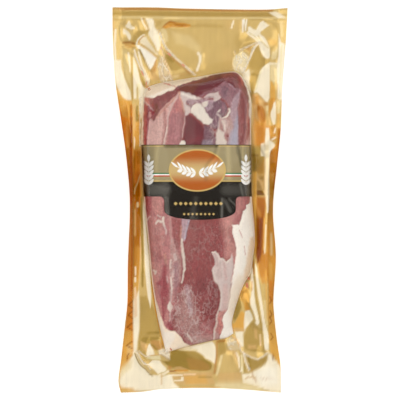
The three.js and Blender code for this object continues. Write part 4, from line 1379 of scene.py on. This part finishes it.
    ("rose", 0.7, 0.8, 0.9, "247.6,104 247.8,112 247,122"),
    ("coral", 0.8, 0.8, 1.1, "238.6,73.6 241,79 242.3,84.6"),
    ("coral", 0.5, 0.8, 0.7, "230,72.4 236,72.6"),
    ("salmon", 0.8, 1.2, "250.8,131 252.6,150 243.6,150 246,141 249,136"),
    ("white", 0.5, 1, "251,138 252.6,150 247.6,150 249,143"),
    # pale rim down the right edge: partly fat, partly painted reflection and light for the steep side
    ("fat", 1, 0.6, 1.9, "238,71 242,75.6 246,82 248.8,88.6 250.6,96 251,105 251,118"),
    ("fat", 1, 0.6, "238,70 241,75.4 243.2,80 248.4,93 251,93 250,84 245,72"),
    ("fat", 1, 0.5, 1.2, "251,118 251.3,136"),
    # sinew and fat between the muscles above the band
    ("membrane", 0.95, 0.9, "180.4,92.4 185,93 189,94 192,95.8 200,98.5 202.5,99.5 199,100.2 189,100.3 "
     "186.5,101 186,104 187.5,106 190,106.5 190.5,110 190.3,113 188,116 185.5,116.4 185,112 184,106 182,100 "
     "180.4,95.6"),
    ("fat", 0.6, 1.2, 1.2, "182.6,94.6 186,95.6 190,97.6 195,98.6"),
    ("lilac", 0.75, 0.8, "186.6,100.6 193,100 199,100.4 206,99.4 212,100.6 216,102 211,104.6 205,103.6 "
     "201,104.4 196,103.6 192,106 188,104.6"),
    ("plum", 0.75, 0.6, 0.6, "196,100.6 199.6,102 200.6,104"),
    ("plum", 0.9, 0.6, 1.1, "187.6,102 188.4,103.8"),
    ("plum", 0.85, 0.6, 1, "191,105 191.3,107.6"),
    ("membrane", 0.95, 0.7, "203.5,98.5 207,95.5 211,93.8 215,93.2 218,92.4 218.8,95.5 221.4,97.8 219,100.3 "
     "216,102 213,101.4 214,99.4 209,98.6 206,99.8"),
    ("mauve", 0.6, 0.9, 0.9, "204,99.4 208,98.4 213,97.8"),
    ("white", 0.85, 0.6, "201.4,104.4 205,101.8 208,101.4 208,104.5 206.5,107 204,108.4 202.5,106.4"),
    ("white", 1, 0.6, "190.8,109 193,106 197,103.8 200,104 202,106 204,109 206,113 209,117 212.8,120.4 "
     "212,123 208,125.6 204,124.6 201,121.6 197.5,119 194,115.6 191,113"),
    ("white", 0.95, 0.6, 1, "228.8,109.6 229.4,112 228,115.5 225,118 222,119.4"),
    ("white", 0.75, 0.6, 0.8, "219.4,110.8 217.8,112.6"),
    ("membrane", 0.8, 0.6, 0.9, "217.4,115 219.6,117 221,119.6"),
    ("membrane", 0.75, 0.6, 0.9, "219.8,120 218.8,124 218.2,130"),
    ("veil", 0.9, 1.6, "219,119 226,119 232,122 233,128 229,134 224.6,134 219,131"),
    ("membrane", 0.6, 1, 1, "224.6,121.4 225.6,126 224.8,131"),
    ("white", 0.7, 0.6, 1, "222.4,122 224.4,126 224.4,130"),
    ("maroon", 0.5, 0.7, 0.7, "220.8,126 222.4,131.4"),
    ("white", 0.8, 1, "217.4,130 220,130.4 222,132.6 224,133 223.5,136.5 225,139.5 226.8,142 227,150 "
     "215.4,150 215.7,141 216,136"),
    ("white", 1, 0.5, "181.8,141 184.2,140.8 185.2,143 184.9,150 180,150 180,144"),
    # skin at the upper left and along the top edge
    ("skin", 1, 0.6, "143.4,92 142,88 152,84 160,80 170,80 175,79.4 195,74.6 204,72.6 215,70.6 215,73.6 "
     "204,78.2 195,81 186,83.6 178,86.4 173.5,91 168,92.2 162,95 157,97 153,98.8 149,98.5 146,97.3 "
     "143.4,96.6"),
    ("fat", 0.6, 1, "145,95.6 153,95.6 162,91.6 172,87.6 175,88.6 153,98 148,97.6"),
    ("scarlet", 0.9, 0.5, 0.5, "162.5,82.7 166,83.6 170,85.2"),
    ("coral", 0.7, 0.5, 0.5, "170,85.2 173,86.7 176.4,88"),
    # rim at the left
    ("skin", 1, 0.5, "139.6,97 143.3,97.6 143.6,120 143.2,150 139,150 139,120"),
    ("skin", 1, 0.6, 0.9, "144.4,194 144.4,206.6"),
)


# %% Breast
BREAST_COLUMNS = BREAST + np.linspace(0, 1, 126)
BREAST_ROWS = BREAST + np.linspace(0, 1, 320)
RIM_FADE = 4  # the relief fades out within one over this of the way to the outline
PALE_EDGE = 0.9  # how far the skin at the very edge pales the meat
PALE_FROM, PALE_AT = 1.5, 0.2  # how far from the outline the paling starts, and is in full
EDGE_LIGHT = 1.12  # makes up for the light that the steep side misses
MEAT_WAVES = (0.35, 26, 21), (0.14, 8, 22)  # height, size, seed

# Grooves between the muscles: depth, half width, places
GROOVES = (
    (0.9, 2, "177,94 166,105 156,117"),
    (0.8, 1.6, "181,97 185,110 184,125 181,140"),
    (0.7, 1.6, "239.5,89 237.5,105 236.5,146"),
    (0.8, 1.5, "164,250 164,270 162,296"),
    (0.8, 1.8, "181,222 183,250 182,285"),
    (0.6, 1.6, "245,206 241,220 233,226 234,240 236.5,254 231,280"),
    (1, 1.8, "153,99 162,95.5 175,90"),
    (0.8, 1.8, "178,87 190,82 206,78 222,74"),
    (0.7, 1.8, "191,113 197,119 204,126"),
    (0.6, 1.6, "225,82 216,88 203,94 192,96"),
    (0.6, 1.6, "212,252 214,262 212,270 215,280 220,290 221,300 216,316"),
)


def meat_relief(x, y):
    """Low relief of the muscles: grooves at their borders, and how far each tissue stands out."""
    height = waves(x, y, *MEAT_WAVES) - sum(pinch(*line, x, y) for line in GROOVES)
    return height + painted(FLESH, TISSUES, "flesh", *shaken(1, x, y))[:, 3]


def meat_top(column, row, x, y, share=1.0):
    """The breast's upper side with a share of its relief, which fades out at the rim."""
    rim = np.clip(RIM_FADE * (1 - np.maximum(off_centre(column), off_centre(row))), 0, 1)
    return breast_top(column, row, x, y) + share * rim * meat_relief(x, y)


def breast_place(column, row, upper):
    x, y = crossing(column, row)
    z = np.where(upper, meat_top(column, row, x, y), breast_floor(column, row, x, y))
    return np.stack([x, y, z], 1)


breast, corners = closed_sheet("breast_meat", BREAST_COLUMNS, BREAST_ROWS, breast_place)
belongs(breast, "goose_breast")
x, y = corners[:, 0], corners[:, 1]
meat = painted(FLESH, TISSUES, "flesh", *shaken(1, x, y))
# The pale skin at the outline, lifted past the fat's colour as painted light for the steep side's shade
from_edge = np.min([x - left_rim(y), right_rim(y) - x, head_rim(x) - y], 0)
paled = PALE_EDGE * smooth(PALE_FROM, PALE_AT, from_edge)
meat += (EDGE_LIGHT * TISSUES["fat"] - meat) * paled[:, None]
mark_colour(breast, "tone", meat)
print(len(FLESH), "areas and lines of tissue")

# %% Net of threads
# Where thin threads of tissue net the muscle: share, softness of the border, places
NETS = (
    (1, 5, "172,300 180,288 192,284 204,296 210,318 208,343 192,345 180,336 171,320"),
    (0.5, 3, "169,236 176,240 181,252 182,275 178,292 170,300 168,270"),
    (0.7, 3, "208,120 218,112 230,112 232,126 228,143 208,143"),
    (0.6, 2, "186,99 204,99 206,112 198,114 188,110"),
    (0.5, 4, "206,272 214,276 219,292 216,320 206,322 202,296"),
    (0.35, 5, "184,225 230,225 232,260 212,268 190,268"),
    (0.3, 4, "150,218 168,222 168,262 156,275 150,250"),
)


def shares(strokes, x, y):
    """What each stroke gives each point: one row for every stroke."""
    return [share * covered(x, y, text, soft, *half) for share, soft, *half, text in strokes]


mark(breast, "net", np.max(shares(NETS, x, y), 0))
print(len(NETS), "netted places")

# %% Meat material
material, tree = new_material("raw_meat")
place = add(tree, "TexCoord").outputs["Object"]
own = add(tree, "Attribute", attribute_name="tone")
fibres = noise(place, 0.75, 3, (1, 0.16, 1))
grainy = plus(times(fibres, 0.7), noise(place, 0.55, 4))
uneven = plus(times(grainy, 0.95), times(noise(place, 0.11, 3), 0.45))
paleness = add(tree, "SeparateColor", {"Color": own.outputs["Color"]}).outputs["Green"]
calm = less(1, times(step(paleness, 0.2, 0.6), 0.8))  # fat and sinew are more even than muscle
colour = shaded(own.outputs["Color"], plus(1, times(uneven, calm)))


def threads(place, scale, detail, stretch, offset, fine):
    """Thin wandering lines: they lie where a noise passes through its middle value."""
    wander = size_of(noise(place, scale, detail, stretch, offset))
    return less(1, step(wander, 0.0, fine))


wide_net = threads(place, 0.1, 4, (1, 0.6, 1), (3, 1, 0), 0.03)
fine_net = threads(place, 0.24, 4, (1, 0.7, 1), (7, 5, 0), 0.035)
web = times(times(marked(tree, "net"), most(wide_net, times(fine_net, 0.7))), 0.5)
# Short light flecks along the fibres, in the membrane's colour: painted highlights
flecks = step(noise(place, 0.5, 3, (1, 0.4, 1), (2, 9, 0)), 0.16, 0.24)
colour = blend(most(web, times(flecks, 0.34)), colour, (*TISSUES["membrane"][:3], 1))
bump = add(tree, "Bump", {"Height": grainy, "Strength": 0.35, "Distance": 0.5 * MM})
shader = add(tree, "BsdfPrincipled", {
    "Base Color": colour, "Roughness": 0.42, "Normal": bump.outputs[0], "Specular IOR Level": 0.3,
    "Subsurface Weight": 0.05, "Subsurface Radius": (0.003, 0.001, 0.0008), "Subsurface Scale": 1.0,
})
dress(breast.data, material, shader)

# %% [markdown]
# ## Printed band
#
# The band is printed film: a strap that wraps the meat, with a round-ended tab below its middle.
# Its outline is one flat face, which many straight cuts turn into small squares, so that it can
# bend over the meat and still keep a clean edge.

# %% Printed band
BAND_TOP, BAND_BOTTOM = 49.5, 3.1
TAB_HALF, TAB_SIDE, TAB_BOTTOM, TAB_ROUND = 32.0, -8.0, -17.7, 4.0
LEFT_CUT, RIGHT_CUT, BAND_CELL = -53, 50, 0.95  # between which it is cut into squares, and their size
BAND_SHY = 0.1  # how far it stops before the outline of the meat
BAND_UNDER, BAND_OVER = 0.1, 0.24  # the levels of its two sides above the meat


def band_outline():
    """The strap between the breast's two sides, and the tab, counter-clockwise in millimetres."""
    sides = np.linspace(BAND_BOTTOM, BAND_TOP, 40)
    right = [(right_rim(y) - BAND_SHY, y) for y in sides]
    left = [(left_rim(y) + BAND_SHY, y) for y in sides[::-1]]
    shoulder = [
        (-TAB_HALF - TAB_ROUND * (1 - math.sin(a)), BAND_BOTTOM - TAB_ROUND * (1 - math.cos(a)))
        for a in np.linspace(0, math.pi / 2, 7)
    ]
    end = [
        (-TAB_HALF * math.cos(a), TAB_SIDE + (TAB_BOTTOM - TAB_SIDE) * math.sin(a) ** 0.75)
        for a in np.linspace(0, math.pi, 41)
    ]
    return right + left + shoulder + end + [(-x, y) for x, y in shoulder[::-1]]


def column_row(x, y):
    """The grid position of a place on the breast."""
    column = BREAST + (x - left_rim(y)) / (right_rim(y) - left_rim(y))
    row = BREAST + (y - tail_rim(x)) / (head_rim(x) - tail_rim(x))
    return column, row


bm = bmesh.new()
bm.faces.new([bm.verts.new((float(x), float(y), 0)) for x, y in band_outline()])
bmesh.ops.remove_doubles(bm, verts=bm.verts, dist=0.02)
for normal, low, high in (((1, 0, 0), LEFT_CUT, RIGHT_CUT), ((0, 1, 0), TAB_BOTTOM, BAND_TOP)):
    for at in np.arange(low + BAND_CELL, high, BAND_CELL):
        whole, middle = bm.verts[:] + bm.edges[:] + bm.faces[:], [at * share for share in normal]
        bmesh.ops.bisect_plane(bm, geom=whole, dist=1e-4, plane_co=middle, plane_no=normal)
print("band:", len(bm.faces), "faces")
mesh, flat = two_layers("band_print", bm)
corners = flat.astype(float)
x, y = corners[:, 0], corners[:, 1]
corners[:, 2] = meat_top(*column_row(x, y), x, y) + np.where(flat[:, 2] > 0.5, BAND_OVER, BAND_UNDER)
band = shaped(mesh, corners)
belongs(band, "printed_band")

# %% [markdown]
# ## Print
#
# The print is a few flat inks. Their borders are formulas of the place on the band, so that they
# stay sharp at any size. A sprig is one pair of leaves that repeats along its stem, and both ends
# of the band mirror each other. The painted shade and light of its folds and the painted glints
# are marked on the band's corners.

# %% Painted light and shade of the band's folds, and painted glints
# Painted light and shade where the band folds and leans away. Each one: how much lighter, or darker
# below 0, softness of its border, half width if a line, places
FOLD_SHADES = (
    (-0.75, 1.5, "139,144 143,144 144.6,160 144.4,182 143,199 139,199"),
    (-0.3, 3, "140,144 150,144 153,165 150,199 140,199"),
    (-0.6, 1.2, 2, "166,146 216,145.8"),
    (-0.35, 1, 1.6, "141.6,163 141.8,177"),
    (0.22, 2, 2, "158,147 156,165 158,190"),
    (-0.12, 1.2, 1, "153,146 153.5,170 152,195"),
    (-0.5, 1, 1.3, "238,146 239.4,156 241,166"),
    (-0.3, 1, 1, "236,146 237,154"),
    (0.35, 0.8, 0.8, "243,146 242.4,152 243,160"),
    (-0.55, 1, 1.4, "250.5,144 251,170 251,199"),
    (0.3, 2, 2, "228,148 229,178"),
    (-0.25, 1.5, 1.5, "217,146 214,156 206,166 206,180"),
    (0.2, 1.5, 1.2, "219,148 216,158 209,166"),
)
GLINTS = (
    (0.3, 4, 6, "154,190 164,190"),
    (0.16, 4, 5, "226,190 246,190"),
    (0.3, 2, 2.4, "166,199 167,213"),
    (0.22, 1, 1.2, "148,184 149,197"),
    (0.35, 1, 1.1, "222,199 221.6,217"),
    (0.2, 1.5, 1.6, "225,201 230,211"),
    (0.25, 0.8, 0.8, "229,199 236,206"),
    (0.25, 1, 1, "240,184 243,197"),
    (0.18, 2, 2, "246,184 247,197"),
    (0.12, 2, 2, "196,198 192,218"),
)
mark(band, "fold", sum(shares(FOLD_SHADES, x, y)))
mark(band, "glint", sum(shares(GLINTS, x, y)))
print(len(FOLD_SHADES), "folds and", len(GLINTS), "glints")

# %% Shapes of the print
material, tree = new_material("printed_film")
place = add(tree, "TexCoord").outputs["Object"]
apart = add(tree, "SeparateXYZ", {"Vector": place})
across, upward = (times(apart.outputs[axis], 1 / MM) for axis in "XY")  # in millimetres
SOFT = 0.25  # half the width of an ink's border
STEM_HALF = 0.5


def edge(depth):
    """Full ink where the depth inside a shape is over 0, with a soft border."""
    return step(depth, -SOFT, SOFT)


def stripe(low, high, value=upward):
    """Ink where a value lies between two others."""
    return edge(less((high - low) / 2, size_of(less(value, (high + low) / 2))))


def oval(x0, y0, wide, high):
    """An oval about a middle, with its half width and half height."""
    dx, dy = times(less(across, x0), 1 / wide), times(less(upward, y0), 1 / high)
    reach = worked_out("SQRT", plus(times(dx, dx), times(dy, dy)))
    return edge(times(less(1, reach), high))


def leaf(run, off, lean, long, wide):
    """A pointed leaf from the origin, leaning away from the direction of run."""
    tall, flat = math.cos(lean), math.sin(lean)
    up = plus(times(run, tall), times(off, flat))
    out = less(times(off, tall), times(run, flat))
    middle = less(times(up, 2 / long), 1.0)
    return edge(less(times(less(1, times(middle, middle)), wide), size_of(out)))


def sprig(run, off, pitch, count, lean, long, wide):
    """Pairs of leaves along a stem, with one more at its tip."""
    beside = size_of(off)
    index = worked_out("FLOOR", times(run, 1 / pitch))
    shape = times(stripe(0, STEM_HALF, beside), stripe(0, pitch * count, run))
    for back in (0, 1):
        start = times(less(index, back), pitch)
        shown = stripe(back * pitch, (count + back) * pitch, run)
        leaves = times(leaf(less(run, start), beside, lean, long, wide), shown)
        shape = most(shape, leaves)
    return most(shape, leaf(less(run, pitch * count), beside, 0.0, long, wide))


def beads(low, high, pitch, height, half):
    """A row of lozenges, each as wide as high."""
    shifted = less(worked_out("FLOORED_MODULO", less(across, low), pitch), pitch / 2)
    beside, above = times(size_of(shifted), 1 / half), times(size_of(less(upward, height)), 1 / half)
    return times(edge(times(less(less(1, beside), above), half)), stripe(low, high, across))


# %% Inks
def ink(red, green, blue):
    """The base colour of an ink that looks like the given one under the film."""
    return (*tissue(red, green, blue)[:3], 1.0)


OLIVE, BLACK = ink(160, 146, 112), ink(46, 43, 40)
GOLD_INK, CREAM_INK = ink(206, 176, 110), ink(244, 242, 240)
COPPER, BRIGHT = ink(180, 98, 46), ink(205, 176, 122)
MEDAL_X, MEDAL_Y, MEDAL_WIDE, MEDAL_HIGH, MEDAL_RIM = -2.4, 26.5, 25.5, 19.0, 1.3
GLOW_EDGE, GLOW_CORE = 13, 1  # how far from its middle line the medallion's glow ends and is in full
STEM_DROP, STEM_BEND, STEM_FROM = 2.5, 0.018, 1.4  # the curved stems of the two sprigs on it
END_SPRIGS, SPRIG_BASE = 43.6, 13.5  # how far the sprigs at both ends are from the middle, and their foot
OLIVE_FROM, OLIVE_TO = 17, 80  # below the olive field the band is black
RIBBONS = (  # between which heights each thin stripe runs, and its ink
    (16.4, 17.4, GOLD_INK), (21.0, 22.1, ink(190, 58, 48)), (22.1, 23.2, CREAM_INK),
    (23.2, 24.3, ink(62, 118, 74)), (47.9, 48.5, GOLD_INK), (48.8, 52, ink(88, 76, 50)),
)
LOZENGES = (-24, 21, 4.5, -3.2, 1.7), (-16, 14, 3.75, -12.6, 1.2)

colour = blend(stripe(OLIVE_FROM, OLIVE_TO), BLACK, OLIVE)
for low, high, shade in RIBBONS:
    colour = blend(stripe(low, high), colour, shade)
colour = blend(oval(MEDAL_X, MEDAL_Y, MEDAL_WIDE, MEDAL_HIGH), colour, GOLD_INK)
glow = blend(step(size_of(less(upward, MEDAL_Y + 0.5)), GLOW_EDGE, GLOW_CORE), COPPER, BRIGHT)
colour = blend(oval(MEDAL_X, MEDAL_Y, MEDAL_WIDE - MEDAL_RIM, MEDAL_HIGH - MEDAL_RIM), colour, glow)

outward = size_of(less(across, MEDAL_X))
bent = less(less(upward, MEDAL_Y - STEM_DROP), times(times(outward, outward), STEM_BEND))
lying = sprig(less(outward, STEM_FROM), bent, pitch=3.9, count=4, lean=0.75, long=6.6, wide=1.25)
from_foot, from_stem = less(upward, SPRIG_BASE), less(outward, END_SPRIGS)
standing = sprig(from_foot, from_stem, pitch=4.1, count=5, lean=0.7, long=7.0, wide=1.4)
for leaves in (lying, standing):
    colour = blend(leaves, colour, CREAM_INK)
for row_of_beads in LOZENGES:
    colour = blend(beads(*row_of_beads), colour, GOLD_INK)
print("print: a medallion, four sprigs and two rows of lozenges")

# %% Band material
# The band's painted fold shade and light, then its painted glints
colour = shaded(colour, plus(1, marked(tree, "fold")))
colour = blend(times(marked(tree, "glint"), 0.5), colour, ink(200, 196, 186))
shader = add(tree, "BsdfPrincipled", {"Base Color": colour, "Roughness": 0.28, "Specular IOR Level": 0.1})
dress(band.data, material, shader)

# %% [markdown]
# ## Clear film
#
# The clear film is drawn over the meat and the band and lies on the gold everywhere else. It is
# seen by its gloss, by the milky look of its tightest creases, which is partly painted highlights and
# light, and by a little meat juice that has run along some of them.

# %% Clear film
FILM_LIFT, WELD_LIFT = 0.3, 0.05  # how far it lies above the meat and above the gold
FILM_THICK = 0.12
DRAWN = 0.8  # the share of the meat's relief that it follows
JUICE_SOFT = 0.6

# Milky places of the film, partly the white of crumpled film and partly painted highlights along its
# creases; the line beside the meat's left edge is painted light over the shade there. Each one: share,
# softness of the border, half width if a line, places
MILK_AND_SHINE = (
    (0.55, 1, "160,55 163.6,57 164.4,62 167.4,68 170.4,75 173,81.5 166,82.5 161,82.5 159,75 157.5,68 159,62"),
    (0.55, 0.5, 0.6, "158,30 160.8,36 164,46 170,52.6 177,59.2 186,67 195,75"),
    (0.6, 0.6, 0.9, "140.3,98 140,120 140.4,146"),
    (0.5, 0.8, 1.2, "240,73 246,81 249.6,92 250.8,106"),
    (0.5, 0.6, 0.7, "134,54 138,62 143,71 148.6,85"),
    (0.5, 0.5, 0.6, "137,45.5 137,42 139.5,38.4 143.5,35.6"),
    (0.5, 1, "234,50 236,55 240,56 243,52 246,53 249,57 249,62 246.5,66 244,73 241,73.5 236,71 233.5,69 "
     "233,61 235.5,57"),
    (0.6, 0.5, 0.7, "257,43 252,50 249.5,58 247,65 243,73.5"),
    (0.45, 0.5, 0.6, "240,51.5 248,47 257,42.5"),
    (0.4, 0.9, "227,340 231,336.6 235,338 240,343.6 242,349 235,350.6 229,349.6 227,346"),
    (0.55, 0.5, 0.7, "244.4,355 247,363 249.5,369.4"),
    (0.35, 0.5, 0.6, "240,350.4 247,355.4 254,358.7 258,359.6 263,356.2 267.6,351.6"),
    (0.4, 0.8, "159,351 163,349.4 169.6,349 170,360.6 166,358.8 162,355.6 158.5,354.6"),
    (0.5, 0.5, 0.7, "137,351.4 141,359.2 147,365 151,370"),
)

# Meat juice caught in creases: half width, places
JUICE = (
    (1, "168.6,53.6 170.6,55.4"),
    (0.9, "182.4,64.4 184.4,66.4"),
    (0.7, "141.6,71.4 143.4,75.4"),
    (0.6, "145.4,80 147,86"),
    (1, "148,87.4 149.6,90"),
    (1.3, "247.8,277.4 248.6,278.6"),
    (1.4, "246.8,284 247.2,286.6"),
    (0.8, "170.4,348.6 171.6,350"),
    (0.7, "160.6,47 161,48.6"),
)


def film_place(column, row, upper):
    x, y = crossing(column, row)
    over_meat = np.maximum(off_centre(column), off_centre(row)) <= 1 + HAIR
    on_meat = meat_top(column, row, x, y, DRAWN) + FILM_LIFT
    on_gold = creased_floor(column, row, x, y) + FILM + WELD_LIFT
    z = np.where(over_meat, on_meat, on_gold) + np.where(upper, FILM_THICK, 0)
    return np.stack([x, y + at_cut(column, row), z], 1)


film, corners = closed_sheet("film_stretched", GOLD_COLUMNS, GOLD_ROWS, film_place)
x, y = corners[:, 0], corners[:, 1]
mark(film, "milky", np.max(shares(MILK_AND_SHINE, x, y), 0))
mark(film, "juice", np.max([covered(x, y, text, JUICE_SOFT, half) for half, text in JUICE], 0))
belongs(film, "clear_film")

# %% Film material
MILK_WHITE, JUICE_RED = (0.93, 0.86, 0.72, 1), srgb(212, 98, 30)
MOST_SHINE = 0.06  # a film that clings has hardly any gloss of its own

material, tree = new_material("clear_film")
place = add(tree, "TexCoord").outputs["Object"]
crumpled = threads(place, 0.17, 2, (1, 0.6, 1), (4, 4, 0), 0.07)
# Milky creases: partly the white of crumpled film, partly painted highlights and light
haze = times(marked(tree, "milky"), plus(0.55, times(crumpled, 0.7)))
wet = times(step(marked(tree, "juice"), 0.25, 0.75), 0.85)
colour = blend(wet, MILK_WHITE, JUICE_RED)
bump = add(tree, "Bump", {"Height": noise(place, 0.22, 3), "Strength": 0.25, "Distance": 0.6 * MM})
upper = less(1, add(tree, "NewGeometry").outputs["Backfacing"])
fresnel = add(tree, "Fresnel", {"IOR": 1.4, "Normal": bump.outputs[0]})
shine = times(upper, worked_out("MINIMUM", fresnel.outputs[0], MOST_SHINE))
cover = times(upper, most(haze, wet))
clear = add(tree, "BsdfTransparent")
gloss = add(tree, "BsdfAnisotropic", {"Roughness": 0.1, "Normal": bump.outputs[0]})
solid = add(tree, "BsdfPrincipled", {"Base Color": colour, "Roughness": 0.25, "Normal": bump.outputs[0]})
glossy = add(tree, "MixShader", {0: shine, 1: clear.outputs[0], 2: gloss.outputs[0]})
mixed = add(tree, "MixShader", {0: cover, 1: glossy.outputs[0], 2: solid.outputs[0]})
dress(film.data, material, mixed)
